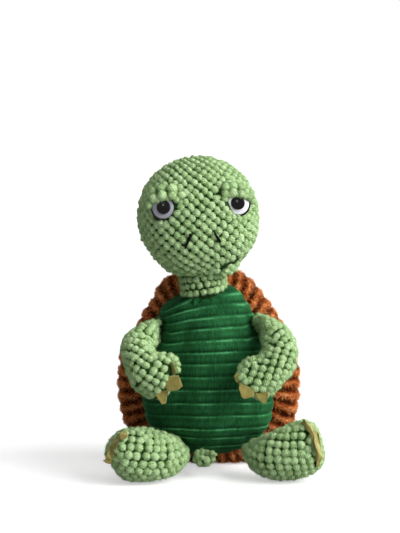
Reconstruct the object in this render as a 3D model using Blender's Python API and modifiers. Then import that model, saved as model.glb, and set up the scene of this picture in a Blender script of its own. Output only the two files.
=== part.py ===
"""A seated plush turtle, built as its sewn pieces.

Metres, +Z up. The origin lies on the floor under the middle of the toy. The turtle faces -Y,
and left and right are the turtle's own, so its left side is at +X.

Each soft form is a loft of rings. Its cloth is the open loft with a thickness, split where the
cloth is sewn, and its stuffing is the same loft drawn in by the cloth and a small gap. Every
limb ends in a ball that turns in a round hollow of the body.
"""

import math

import bmesh
import bpy
import numpy as np
from mathutils import Matrix, Vector

for old in list(bpy.data.objects):
    bpy.data.objects.remove(old, do_unlink=True)

# Cloths, gaps and the depth by which the soft forms are pressed flat on the floor
BOBBLE_CLOTH = 0.0018
VELOUR_CLOTH = 0.0014
PILE_CLOTH = 0.0024
FELT = 0.0014
SEAM_GAP = 0.0003
STUFFING_GAP = 0.0003
SOCKET_GAP = 0.0008
FLOOR_PRESS = 0.0005
CUT_OVERRUN = 0.02

# Trunk, from its rounded seat to the neck
TRUNK_X = -0.0025
TRUNK_SEAT_Z = 0.0145
TRUNK_HEIGHT = 0.1475
TRUNK_HALF_WIDTH = 0.0592
TRUNK_FRONT_DEPTH = 0.0420
TRUNK_BACK_DEPTH = 0.0200
TRUNK_LEAN = -0.0050
TRUNK_SIDE_SEAM_Y = 0.0060
TRUNK_SECTION_POWER = 2.2
TRUNK_BACK_POWER = 3.4
# Rows of height, half width, front depth and back depth
TRUNK_SHARES = (
    (0.000, 0.00, 0.00, 0.00),
    (0.012, 0.30, 0.24, 0.45),
    (0.050, 0.58, 0.45, 0.78),
    (0.115, 0.81, 0.68, 0.96),
    (0.200, 0.945, 0.86, 1.00),
    (0.340, 1.00, 0.985, 1.00),
    (0.510, 0.97, 1.00, 1.00),
    (0.680, 0.890, 0.93, 1.00),
    (0.820, 0.780, 0.80, 0.96),
    (0.905, 0.675, 0.68, 0.88),
    (0.965, 0.545, 0.57, 0.80),
    (1.000, 0.400, 0.46, 0.70),
)

# Neck: a short tube with a ball at each end
NECK_FOOT = Vector((-0.0075, -0.0025, 0.1600))
NECK_HEAD = Vector((-0.0100, -0.0030, 0.1870))
NECK_FOOT_RADIUS = 0.0212
NECK_HEAD_RADIUS = 0.0200
NECK_OPEN_TURN = math.radians(42)
NOD_SWEEP = math.radians(17)
NECK_ROOM_STEPS = 6
NECK_HOLLOW_SIDES = 24
LIMB_HOLLOW_SIDES = 18
NECK_SIDES = 16
NECK_LEAN = Vector((0, 1, 0))

# Head
HEAD_CENTRE = Vector((-0.0130, -0.0040, 0.2300))
HEAD_HALF_WIDTH = 0.0525
HEAD_RISE = 0.0500
HEAD_DROP = 0.0550
HEAD_FRONT_DEPTH = 0.0490
HEAD_BACK_DEPTH = 0.0470
HEAD_ROLL = math.radians(-4)
HEAD_YAW = math.radians(4)
HEAD_SIDE_SEAM_Y = 0.0040
HEAD_SECTION_POWER = 2.5
# Rows of drop from the crown as a turn share, half width, front depth and back depth
HEAD_LOWER_SHARES = (
    (0.25, 0.985, 1.015, 0.98),
    (0.45, 0.935, 1.010, 0.92),
    (0.64, 0.850, 0.930, 0.77),
    (0.82, 0.690, 0.760, 0.56),
    (0.94, 0.540, 0.560, 0.38),
    (1.00, 0.300, 0.300, 0.22),
)
HEAD_UPPER_TURN_SHARES = (0.00, 0.13, 0.30, 0.48, 0.66, 0.84)

# Eyes: a black base on a stem, a white ring, a domed pupil and a lock washer in the head
EYE_SPREAD = 0.0322
EYE_HEIGHT = 0.0106
EYE_RADIUS = 0.0105
EYE_BASE_THICKNESS = 0.0016
EYE_SEAT_DEPTH = 0.0013
EYE_WHITE_RADIUS = 0.0097
EYE_WHITE_EDGE = 0.0008
EYE_WHITE_CROWN = 0.0024
EYE_WHITE_MIDDLE_SHARE = 0.80
EYE_PUPIL_RADIUS = 0.0052
EYE_PUPIL_CROWN = 0.0014
EYE_PUPIL_MIDDLE_SHARES = (0.60, 0.75)
EYE_STEM_RADIUS = 0.0021
EYE_STEM_LENGTH = 0.0085
WASHER_RADIUS = 0.0068
WASHER_THICKNESS = 0.0012
EYE_SIDES = 16

# Nostril stitches, from their upper end to their lower end, as sideways place and height
NOSTRIL_THREAD_RADIUS = 0.0006
NOSTRIL_TOP_SPREAD = 0.0092
NOSTRIL_FOOT_SPREAD = 0.0142
NOSTRIL_TOP_Z = -0.0105
NOSTRIL_FOOT_Z = -0.0205
NOSTRIL_POINTS = 4

# Back pad, the turtle's shell: an egg outline, flat in front and domed behind
PAD_X = -0.0033
PAD_HALF_WIDTH = 0.0805
PAD_RISE = 0.1005
PAD_CENTRE_Z = 0.0750
PAD_DROP = PAD_CENTRE_Z + FLOOR_PRESS
PAD_THICKNESS = 0.0580
PAD_SEAM_DEPTH = 0.0130
# Quarter rows of the egg outline, as sideways place and height, from the foot to the crown
PAD_OUTLINE_SHARES = (
    (0.00, -1.00),
    (0.36, -0.996),
    (0.74, -0.84),
    (0.94, -0.48),
    (1.00, -0.10),
    (0.965, 0.24),
    (0.86, 0.52),
    (0.66, 0.765),
    (0.40, 0.95),
    (0.00, 1.00),
)
# Rows of outline scale and depth behind the front face
PAD_RING_SHARES = (
    (0.45, 0.00),
    (0.90, 0.00),
    (0.965, 0.05),
    (1.00, 0.22),
    (0.996, 0.42),
    (0.90, 0.64),
    (0.72, 0.82),
    (0.42, 0.955),
)

# Limbs
LIMB_SIDES = 12
LIMB_SPINE_STEPS = 2
LIMB_BALL_STEPS = 3
LIMB_CAP_STEPS = 3
ARM_LENGTH = 0.0800
ARM_RADIUS = 0.0190
LEG_LENGTH = 0.0700
LEG_RADIUS = 0.0240
HAND_CAP_LENGTH = 0.0095
TOE_CAP_LENGTH = 0.0090

SHOULDER_LEFT = Vector((0.0396, -0.0176, 0.1320))
SHOULDER_RIGHT = Vector((-0.0505, -0.0202, 0.1265))
HIP_LEFT = Vector((0.0385, -0.0245, 0.0250))
HIP_RIGHT = Vector((-0.0330, -0.0290, 0.0230))
TAIL_ROOT = Vector((-0.0080, -0.0178, 0.0168))

# Rows of way from the joint, as shares of the limb's length, and radius, as a share of its radius
ARM_LEFT_SHARES = (
    (0.000, 0.000, 0.000, 0.70),
    (0.170, -0.165, -0.070, 0.75),
    (0.240, -0.300, -0.230, 0.92),
    (0.125, -0.440, -0.400, 1.02),
    (-0.050, -0.490, -0.530, 1.02),
)
ARM_RIGHT_SHARES = (
    (0.000, 0.000, 0.000, 0.70),
    (-0.170, -0.190, -0.060, 0.75),
    (-0.200, -0.330, -0.200, 0.95),
    (-0.100, -0.435, -0.345, 1.00),
    (0.072, -0.480, -0.440, 1.00),
)
LEG_LEFT_SHARES = (
    (0.000, 0.000, 0.000, 0.58),
    (0.100, -0.200, -0.020, 0.79),
    (0.300, -0.300, 0.015, 1.02),
    (0.530, -0.335, 0.070, 1.00),
    (0.685, -0.350, 0.123, 0.87),
)
LEG_RIGHT_SHARES = (
    (0.000, 0.000, 0.000, 0.60),
    (-0.110, -0.225, 0.000, 0.83),
    (-0.330, -0.300, 0.017, 1.02),
    (-0.560, -0.335, 0.065, 1.00),
    (-0.715, -0.360, 0.130, 0.84),
)
HAND_LEFT_WAY = Vector((-0.64, 0.22, -0.74)).normalized()
HAND_RIGHT_WAY = Vector((0.88, 0.25, -0.40)).normalized()
TOE_LEFT_WAY = Vector((0.93, -0.15, 0.32)).normalized()
TOE_RIGHT_WAY = Vector((-0.78, -0.15, 0.60)).normalized()

TAIL_LENGTH = 0.0180
TAIL_RADIUS = 0.0085
TAIL_SHARES = (
    (0.00, 0.00, 0.00, 0.64),
    (-0.12, -0.65, -0.10, 1.00),
    (0.30, -1.00, -0.05, 0.72),
)
TAIL_TIP_WAY = Vector((0.86, -0.40, 0.30)).normalized()
TAIL_TIP_LENGTH = 0.0050
TAIL_OPEN_TURN = math.radians(35)

# Felt claws: three rounded teeth sewn into the seam round the end of each limb
CLAW_COUNT = 3
CLAW_TOOTH_POINTS = 4
CLAW_BAND = 0.0022
HAND_CLAW_LENGTH = 0.0105
TOE_CLAW_LENGTH = 0.0075
CLAW_SPAN = math.radians(128)
CLAW_LEAN = math.radians(66)
CLAW_TOOTH_POWER_SHARE = 0.75
CLAW_DEPTH_SHARES = (0.0, 0.45, 1.0)

SKIN_COLLECTION = "plush_turtle"
CUTTER_COLLECTION = "cutters"


def collection(name):
    made = bpy.data.collections.new(name)
    bpy.context.scene.collection.children.link(made)
    return made


PIECES = collection(SKIN_COLLECTION)
CUTTERS = collection(CUTTER_COLLECTION)


def material(name, colour, roughness):
    made = bpy.data.materials.new(name)
    made.use_nodes = True
    shader = made.node_tree.nodes["Principled BSDF"]
    shader.inputs["Base Color"].default_value = (*colour, 1.0)
    shader.inputs["Roughness"].default_value = roughness
    shader.inputs["Metallic"].default_value = 0.0
    return made


MATERIALS = {
    "bobble": material("green_bobble_knit", (0.25, 0.42, 0.20), 0.95),
    "velour": material("dark_green_velour", (0.02, 0.13, 0.04), 0.85),
    "pile": material("rust_brown_pile", (0.24, 0.07, 0.02), 0.95),
    "felt": material("olive_felt", (0.24, 0.21, 0.07), 0.95),
    "black": material("black_plastic", (0.01, 0.01, 0.01), 0.15),
    "white": material("white_plastic", (0.80, 0.80, 0.82), 0.20),
    "clear": material("washer_plastic", (0.70, 0.70, 0.68), 0.40),
    "stuffing": material("polyester_stuffing", (0.85, 0.85, 0.82), 1.00),
}


def new_object(name, mesh, cloth, folder=None):
    made = bpy.data.objects.new(name, mesh)
    (folder or PIECES).objects.link(made)
    if cloth:
        mesh.materials.append(MATERIALS[cloth].copy())
    mesh.shade_smooth()
    return made


def as_cutter(made):
    made.display_type = "WIRE"
    made.hide_render = True
    return made


def smooth_rows(rows, steps):
    """Rows along a Catmull-Rom curve through the given rows, with steps spans in each stretch."""
    rows = [np.array(row, float) for row in rows]
    ends = [2 * rows[0] - rows[1], *rows, 2 * rows[-1] - rows[-2]]
    curve = []
    for first, second, third, fourth in zip(ends, ends[1:], ends[2:], ends[3:]):
        for step in range(steps):
            t = step / steps
            curve.append(
                second
                + 0.5 * t * (third - first)
                + t * t * (first - 2.5 * second + 2 * third - 0.5 * fourth)
                + t**3 * (1.5 * (second - third) + 0.5 * (fourth - first))
            )
    return [row.tolist() for row in (*curve, rows[-1])]


def skin(made, rings, start=None, end=None, ring_shut=False):
    """Join rings in order in a mesh, closed by a pole at each end that is given one."""
    loops = [[made.verts.new(point) for point in ring] for ring in rings]
    followers = [*loops[1:], loops[0]] if ring_shut else loops[1:]
    for lower, upper in zip(loops, followers):
        for here in range(len(lower)):
            after = (here + 1) % len(lower)
            made.faces.new((lower[here], lower[after], upper[after]))
            made.faces.new((lower[here], upper[after], upper[here]))
    for point, loop in ((start, loops[0]), (end, loops[-1])):
        if point is not None:
            pole = made.verts.new(point)
            for here in range(len(loop)):
                made.faces.new((loop[here], loop[(here + 1) % len(loop)], pole))
    return loops


def loft(rings, start=None, end=None, ring_shut=False):
    """One surface through rings, closed at an end that is given a pole."""
    made = bmesh.new()
    skin(made, rings, start, end, ring_shut)
    bmesh.ops.recalc_face_normals(made, faces=made.faces)
    return made


def walled(outer, inner, starts=(None, None), ends=(None, None)):
    """A wall between two lofts of like rings, open at an end that is given no poles."""
    made = bmesh.new()
    outside = skin(made, outer, starts[0], ends[0])
    inside = skin(made, inner, starts[1], ends[1])
    for poles, place in ((starts, 0), (ends, -1)):
        if poles[0] is None:
            near, far = outside[place], inside[place]
            for here in range(len(near)):
                after = (here + 1) % len(near)
                made.faces.new((near[here], near[after], far[after], far[here]))
    bmesh.ops.recalc_face_normals(made, faces=made.faces)
    return made


def press_flat(made, height):
    """Cut a closed form level at a height above the floor and close it with a flat face."""
    everything = [*made.verts, *made.edges, *made.faces]
    cut = bmesh.ops.bisect_plane(
        made,
        geom=everything,
        plane_co=Vector((0, 0, height)),
        plane_no=Vector((0, 0, -1)),
        clear_outer=True,
    )
    rim = [part for part in cut["geom_cut"] if isinstance(part, bmesh.types.BMEdge)]
    if rim:
        bmesh.ops.holes_fill(made, edges=rim)
    bmesh.ops.recalc_face_normals(made, faces=made.faces)
    return made


def draw_in(made, depth):
    """Move a form's surface inwards by an even depth."""
    made.normal_update()
    moves = [(v, v.normal * (depth * v.calc_shell_factor())) for v in made.verts]
    for v, move in moves:
        v.co -= move
    return made


def keep_side(made, point, way):
    """Keep the part of an open surface that lies on the far side of a plane, along way."""
    everything = [*made.verts, *made.edges, *made.faces]
    bmesh.ops.bisect_plane(made, geom=everything, plane_co=point, plane_no=way, clear_inner=True)
    return made


def to_mesh(made, name):
    mesh = bpy.data.meshes.new(name)
    made.to_mesh(mesh)
    made.free()
    return mesh


def cloth_piece(name, surface, thickness, cloth):
    """A sewn panel: an open surface with the cloth's thickness laid on its inner side."""
    made = new_object(name, to_mesh(surface, name), cloth)
    wall = made.modifiers.new("cloth", "SOLIDIFY")
    wall.thickness = thickness
    wall.offset = -1
    wall.use_even_offset = True
    wall.use_quality_normals = True
    return made


def stuffing_piece(name, form, cloth_thickness):
    drawn = draw_in(form, cloth_thickness + STUFFING_GAP)
    return new_object(name, to_mesh(drawn, name), "stuffing")


def cut_with(piece, *cutters):
    for cutter in cutters:
        cut = piece.modifiers.new("cut_" + cutter.name, "BOOLEAN")
        cut.operation = "DIFFERENCE"
        cut.solver = "EXACT"
        cut.object = cutter


def hollow(name, centre, radius, sides=LIMB_HOLLOW_SIDES):
    """A round hollow that leaves a gap round the ball of a joint."""
    made = bmesh.new()
    bmesh.ops.create_uvsphere(
        made, u_segments=sides, v_segments=sides // 2, radius=radius + SOCKET_GAP
    )
    bmesh.ops.translate(made, verts=made.verts, vec=centre)
    return as_cutter(new_object(name, to_mesh(made, name), None, CUTTERS))


def section_point(turn, half_width, front, back, front_power, back_power):
    """A point of a rounded section, seen from above, with its front at -Y."""
    depth, power = (front, front_power) if math.sin(turn) < 0 else (back, back_power)
    across = math.copysign(abs(math.cos(turn)) ** (2 / power), math.cos(turn))
    along = math.copysign(abs(math.sin(turn)) ** (2 / power), math.sin(turn))
    return Vector((half_width * across, depth * along, 0))


def turns(count):
    return [2 * math.pi * step / count for step in range(count)]


def trunk_form(sides=18):
    rings = []
    for height, width, front, back in TRUNK_SHARES[1:]:
        middle = Vector((TRUNK_X + TRUNK_LEAN * height, 0, TRUNK_SEAT_Z + TRUNK_HEIGHT * height))
        rings.append([
            middle
            + section_point(
                turn,
                TRUNK_HALF_WIDTH * width,
                TRUNK_FRONT_DEPTH * front,
                TRUNK_BACK_DEPTH * back,
                TRUNK_SECTION_POWER,
                TRUNK_BACK_POWER,
            )
            for turn in turns(sides)
        ])
    seat = Vector((TRUNK_X, 0, TRUNK_SEAT_Z))
    crown = Vector((TRUNK_X + TRUNK_LEAN, 0, TRUNK_SEAT_Z + TRUNK_HEIGHT))
    return loft(rings, start=seat, end=crown)


def head_rows():
    """Rows of height over the head's centre, half width, front depth and back depth."""
    rows = []
    for share in HEAD_UPPER_TURN_SHARES[1:]:
        turn = share * math.pi / 2
        size = math.sin(turn)
        rows.append((
            HEAD_RISE * math.cos(turn),
            HEAD_HALF_WIDTH * size,
            HEAD_FRONT_DEPTH * size,
            HEAD_BACK_DEPTH * size,
        ))
    rows.append((0.0, HEAD_HALF_WIDTH, HEAD_FRONT_DEPTH, HEAD_BACK_DEPTH))
    for drop, width, front, back in HEAD_LOWER_SHARES:
        rows.append((
            -HEAD_DROP * drop,
            HEAD_HALF_WIDTH * width,
            HEAD_FRONT_DEPTH * front,
            HEAD_BACK_DEPTH * back,
        ))
    return rows


HEAD_PLACE = (
    Matrix.Translation(HEAD_CENTRE)
    @ Matrix.Rotation(HEAD_YAW, 4, "Z")
    @ Matrix.Rotation(HEAD_ROLL, 4, "Y")
)


def head_form(sides=20):
    rings = []
    for height, width, front, back in head_rows():
        lift = Vector((0, 0, height))
        powers = (HEAD_SECTION_POWER, HEAD_SECTION_POWER)
        rings.append([
            HEAD_PLACE @ (lift + section_point(turn, width, front, back, *powers))
            for turn in turns(sides)
        ])
    crown = HEAD_PLACE @ Vector((0, 0, HEAD_RISE))
    chin = HEAD_PLACE @ Vector((0, 0, -HEAD_DROP))
    return loft(rings, start=crown, end=chin)


def face_depth(across, height):
    """How far the face stands forward of the head's centre at a place seen from the front."""
    rows = sorted(head_rows())
    heights = [row[0] for row in rows]
    width = np.interp(height, heights, [row[1] for row in rows])
    front = np.interp(height, heights, [row[2] for row in rows])
    rest = 1 - (abs(across) / width) ** HEAD_SECTION_POWER
    return -front * rest ** (1 / HEAD_SECTION_POWER)


def face_point(across, height):
    return Vector((across, face_depth(across, height), height))


def face_normal(across, height):
    """The outward direction of the face, found over one eye radius."""
    reach = EYE_RADIUS / 2
    side = face_point(across + reach, height) - face_point(across - reach, height)
    up = face_point(across, height + reach) - face_point(across, height - reach)
    return side.cross(up).normalized()


def pad_outline():
    """The egg outline of the pad about its centre, as sideways place and height."""
    half = [
        (PAD_HALF_WIDTH * across, (PAD_RISE if up > 0 else PAD_DROP) * up)
        for across, up in smooth_rows(PAD_OUTLINE_SHARES, 2)
    ]
    return [*half, *[(-across, up) for across, up in reversed(half[1:-1])]]


def pad_form():
    front = TRUNK_BACK_DEPTH + SEAM_GAP
    outline = pad_outline()
    rings = []
    for scale, depth in PAD_RING_SHARES:
        rings.append([
            Vector((
                PAD_X + scale * across,
                front + depth * PAD_THICKNESS,
                PAD_CENTRE_Z + scale * up,
            ))
            for across, up in outline
        ])
    middle = Vector((PAD_X, front, PAD_CENTRE_Z))
    back = middle + Vector((0, PAD_THICKNESS, 0))
    return press_flat(loft(rings, start=middle, end=back), 0)


def around(centre, way, radius, sides, lean=Vector((0, 0, 1))):
    """Points of a circle about a centre, square to way, with a side nearest to lean."""
    first = (lean - way * lean.dot(way)).normalized()
    second = way.cross(first)
    half_side = math.pi / sides
    return [
        centre
        + radius * (math.cos(turn + half_side) * first + math.sin(turn + half_side) * second)
        for turn in turns(sides)
    ]


class Limb:
    """A stuffed limb: a ball at the joint, a swept tube, a sewn seam and a domed end cap."""

    def __init__(self, root, length, radius, shares, end_way, cap_length, rests=False):
        self.root = root
        self.ball_radius = radius * shares[0][3]
        rows = smooth_rows(shares, LIMB_SPINE_STEPS)
        self.centres = [root + length * Vector(row[:3]) for row in rows]
        self.radii = [radius * row[3] for row in rows]
        root_way = (self.centres[1] - self.centres[0]).normalized()
        last = len(rows) - 1
        self.ways = [root_way.slerp(end_way, place / last) for place in range(len(rows))]
        self.leans = []
        lean = Vector((0, 0, 1))
        for way in self.ways:
            lean = (lean - way * lean.dot(way)).normalized()
            self.leans.append(lean)
        self.end_way = end_way
        self.end_radius = self.radii[-1]
        self.cap_length = cap_length
        if rests:
            self.lie_on_floor()
        self.seam = self.centres[-1]

    def lie_on_floor(self):
        """Lower the tube, more and more along its first half, until it presses on the floor."""
        last = len(self.centres) - 1
        lowest = min(point.z for ring in self.tube_rings() for point in ring)
        for place, centre in enumerate(self.centres):
            centre.z -= (lowest + FLOOR_PRESS) * min(1, 2 * place / last)

    def ball_rings(self, inset=0.0, first_turn=0.0):
        """Rings of the ball, drawn in by inset, from a turn off its pole to its equator."""
        way = self.ways[0]
        radius = self.ball_radius - inset
        rings = []
        for step in range(0 if first_turn else 1, LIMB_BALL_STEPS):
            turn = first_turn + (math.pi / 2 - first_turn) * step / LIMB_BALL_STEPS
            centre = self.root - way * radius * math.cos(turn)
            rings.append(around(centre, way, radius * math.sin(turn), LIMB_SIDES, self.leans[0]))
        return rings

    def tube_rings(self, inset=0.0, end_back=0.0):
        """Rings of the tube, from the ball's equator to a set distance before the seam."""
        rings = [
            around(centre, way, radius - inset, LIMB_SIDES, lean)
            for centre, way, radius, lean in zip(self.centres, self.ways, self.radii, self.leans)
        ]
        ends = []
        for before, point in zip(rings[-2], rings[-1]):
            edge = point - before
            ends.append(point - edge * (end_back / edge.dot(self.end_way)))
        return [*rings[:-1], ends]

    def cap_rings(self, inset=0.0, start_on=0.0):
        """Rings of the end cap's dome, from a set distance past the seam."""
        lean = self.leans[-1]
        radius = self.end_radius - inset
        length = self.cap_length - inset
        rings = []
        if start_on:
            start = self.seam + self.end_way * start_on
            rings.append(around(start, self.end_way, radius, LIMB_SIDES, lean))
        for step in range(1, LIMB_CAP_STEPS):
            turn = math.pi / 2 * step / LIMB_CAP_STEPS
            centre = self.seam + self.end_way * length * math.sin(turn)
            rings.append(around(centre, self.end_way, radius * math.cos(turn), LIMB_SIDES, lean))
        return rings

    def pole(self, inset=0.0):
        return self.root - self.ways[0] * (self.ball_radius - inset)

    def tip(self, inset=0.0):
        return self.seam + self.end_way * (self.cap_length - inset)

    def whole(self, inset=0.0):
        rings = [*self.ball_rings(inset), *self.tube_rings(inset), *self.cap_rings(inset)]
        return loft(rings, start=self.pole(inset), end=self.tip(inset))

    def sleeve(self, cloth, end_back):
        """The cloth tube, closed at the ball and open at the seam."""
        outer = [*self.ball_rings(), *self.tube_rings(0, end_back)]
        inner = [*self.ball_rings(cloth), *self.tube_rings(cloth, end_back)]
        return walled(outer, inner, starts=(self.pole(), self.pole(cloth)))

    def cap(self, cloth, start_on):
        """The cloth cap, domed and open at the seam."""
        outer = self.cap_rings(0, start_on)
        inner = self.cap_rings(cloth, start_on)
        return walled(outer, inner, ends=(self.tip(), self.tip(cloth)))

    def nub(self, cloth, first_turn):
        """The cloth of a limb with no seam, closed at its tip and open at its root."""
        outer, inner = [
            [*self.ball_rings(inset, first_turn), *self.tube_rings(inset), *self.cap_rings(inset)]
            for inset in (0, cloth)
        ]
        return walled(outer, inner, ends=(self.tip(), self.tip(cloth)))


def limb_pieces(name, end_name, claws_name, limb, claw_length, claw_middle):
    """The sleeve, end cap, claws and stuffing of one limb."""
    gap = FELT / 2 + SEAM_GAP
    sleeve = press_flat(limb.sleeve(BOBBLE_CLOTH, gap), 0)
    new_object(name + "_sleeve", to_mesh(sleeve, name), "bobble")
    new_object(end_name, to_mesh(limb.cap(BOBBLE_CLOTH, gap), end_name), "bobble")
    stuffing = limb.whole(BOBBLE_CLOTH + STUFFING_GAP)
    new_object(name + "_stuffing", to_mesh(stuffing, name), "stuffing")
    claw_piece(claws_name, limb, claw_length, claw_middle)


def claw_piece(name, limb, length, middle):
    """A strip of felt with three rounded teeth, caught in the seam and leaning over the cap."""
    way = limb.end_way
    first = (middle - way * middle.dot(way)).normalized()
    second = way.cross(first)
    count = CLAW_COUNT * CLAW_TOOTH_POINTS
    made = bmesh.new()
    rows = []
    for step in range(count + 1):
        turn = CLAW_SPAN * (step / count - 0.5)
        out = math.cos(turn) * first + math.sin(turn) * second
        tooth = abs(math.sin(math.pi * step / CLAW_TOOTH_POINTS)) ** CLAW_TOOTH_POWER_SHARE
        height = CLAW_BAND + (length - CLAW_BAND) * tooth
        edge = limb.seam + out * (limb.end_radius + FELT)
        lean = math.cos(CLAW_LEAN) * out + math.sin(CLAW_LEAN) * way
        row = [made.verts.new(edge - out * (FELT + BOBBLE_CLOTH / 2))]
        row += [made.verts.new(edge + lean * height * share) for share in CLAW_DEPTH_SHARES]
        rows.append(row)
    for here, after in zip(rows, rows[1:]):
        for low in range(len(here) - 1):
            made.faces.new((here[low], here[low + 1], after[low + 1], after[low]))
    bmesh.ops.recalc_face_normals(made, faces=made.faces)
    piece = new_object(name, to_mesh(made, name), "felt")
    wall = piece.modifiers.new("felt", "SOLIDIFY")
    wall.thickness = FELT
    wall.offset = 0
    wall.use_even_offset = True
    return piece


def turned(name, profile, place, cloth, sides=EYE_SIDES, folder=None):
    """A turned piece from a closed profile of radius and height, placed along its axis."""
    rings = []
    poles = [height for radius, height in profile if radius == 0]
    for radius, height in profile:
        if radius > 0:
            rings.append([
                place @ Vector((radius * math.cos(turn), radius * math.sin(turn), height))
                for turn in turns(sides)
            ])
    if poles:
        start, end = place @ Vector((0, 0, poles[0])), place @ Vector((0, 0, poles[-1]))
        made = loft(rings, start, end)
    else:
        made = loft(rings, ring_shut=True)
    return new_object(name, to_mesh(made, name), cloth, folder)


def build_trunk():
    balls = [
        hollow("neck_hollow", NECK_FOOT, NECK_FOOT_RADIUS, NECK_HOLLOW_SIDES),
        *[hollow(name + "_hollow", limb.root, limb.ball_radius) for name, limb in LIMBS.items()],
    ]
    seam = Vector((0, TRUNK_SIDE_SEAM_Y, 0))
    half_gap = Vector((0, SEAM_GAP / 2, 0))
    front = keep_side(trunk_form(), seam - half_gap, Vector((0, -1, 0)))
    back = keep_side(trunk_form(), seam + half_gap, Vector((0, 1, 0)))
    pieces = [
        cloth_piece("belly_panel", front, VELOUR_CLOTH, "velour"),
        cloth_piece("back_panel", back, VELOUR_CLOTH, "velour"),
        stuffing_piece("body_stuffing", trunk_form(), VELOUR_CLOTH),
    ]
    for piece in pieces:
        cut_with(piece, *balls)


def build_pad():
    front = TRUNK_BACK_DEPTH + SEAM_GAP
    seam = Vector((0, front + PAD_SEAM_DEPTH, 0))
    half_gap = Vector((0, SEAM_GAP / 2, 0))
    lining = keep_side(pad_form(), seam - half_gap, Vector((0, -1, 0)))
    cover = keep_side(pad_form(), seam + half_gap, Vector((0, 1, 0)))
    cloth_piece("shell_front_panel", lining, PILE_CLOTH, "pile")
    cloth_piece("shell_back_panel", cover, PILE_CLOTH, "pile")
    stuffing_piece("shell_stuffing", pad_form(), PILE_CLOTH)


def neck_rings(turns_off, inset=0.0):
    """Rings of the neck, drawn in by inset, at turns off the pole of each end ball."""
    way = (NECK_HEAD - NECK_FOOT).normalized()
    foot, head = NECK_FOOT_RADIUS - inset, NECK_HEAD_RADIUS - inset
    rings = []
    for turn in turns_off:
        centre = NECK_FOOT - way * foot * math.cos(turn)
        rings.append(around(centre, way, foot * math.sin(turn), NECK_SIDES, NECK_LEAN))
    for turn in reversed(turns_off):
        centre = NECK_HEAD + way * head * math.cos(turn)
        rings.append(around(centre, way, head * math.sin(turn), NECK_SIDES, NECK_LEAN))
    return rings


def build_neck():
    span = math.pi / 2 - NECK_OPEN_TURN
    turns_off = [NECK_OPEN_TURN + span * step / LIMB_BALL_STEPS for step in range(LIMB_BALL_STEPS + 1)]
    sleeve = walled(neck_rings(turns_off), neck_rings(turns_off, BOBBLE_CLOTH))
    new_object("neck_sleeve", to_mesh(sleeve, "neck_sleeve"), "bobble")
    way = (NECK_HEAD - NECK_FOOT).normalized()
    inset = BOBBLE_CLOTH + STUFFING_GAP
    filling = loft(
        neck_rings([NECK_OPEN_TURN / 2, *turns_off], inset),
        start=NECK_FOOT - way * (NECK_FOOT_RADIUS - inset),
        end=NECK_HEAD + way * (NECK_HEAD_RADIUS - inset),
    )
    new_object("neck_stuffing", to_mesh(filling, "neck_stuffing"), "stuffing")


def neck_room():
    """The head's round hollow, open below by a flare that leaves the neck free in a nod."""
    gap = NECK_HEAD_RADIUS + SOCKET_GAP
    profile = [(0, gap)]
    for step in range(1, NECK_ROOM_STEPS + 1):
        turn = (math.pi / 2 - NOD_SWEEP) * step / NECK_ROOM_STEPS
        profile.append((gap * math.sin(turn), gap * math.cos(turn)))
    edge, height = profile[-1]
    foot = -NECK_HEAD_RADIUS - CUT_OVERRUN
    profile += [(edge + (height - foot) * math.tan(NOD_SWEEP), foot), (0, foot)]
    place = Matrix.Translation(NECK_HEAD)
    return as_cutter(turned("neck_room", profile, place, None, NECK_HOLLOW_SIDES, CUTTERS))


def build_head():
    seam = HEAD_PLACE @ Vector((0, HEAD_SIDE_SEAM_Y, 0))
    way = HEAD_PLACE.to_3x3() @ Vector((0, 1, 0))
    half_gap = way * SEAM_GAP / 2
    front = keep_side(head_form(), seam - half_gap, -way)
    back = keep_side(head_form(), seam + half_gap, way)
    face = cloth_piece("face_panel", front, BOBBLE_CLOTH, "bobble")
    nape = cloth_piece("head_back_panel", back, BOBBLE_CLOTH, "bobble")
    stuffing = stuffing_piece("head_stuffing", head_form(), BOBBLE_CLOTH)
    room = neck_room()
    for piece in (face, nape, stuffing):
        cut_with(piece, room)
    for side, name in ((1, "left"), (-1, "right")):
        build_eye(name, side, face, stuffing)
        build_nostril(name, side)


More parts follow.
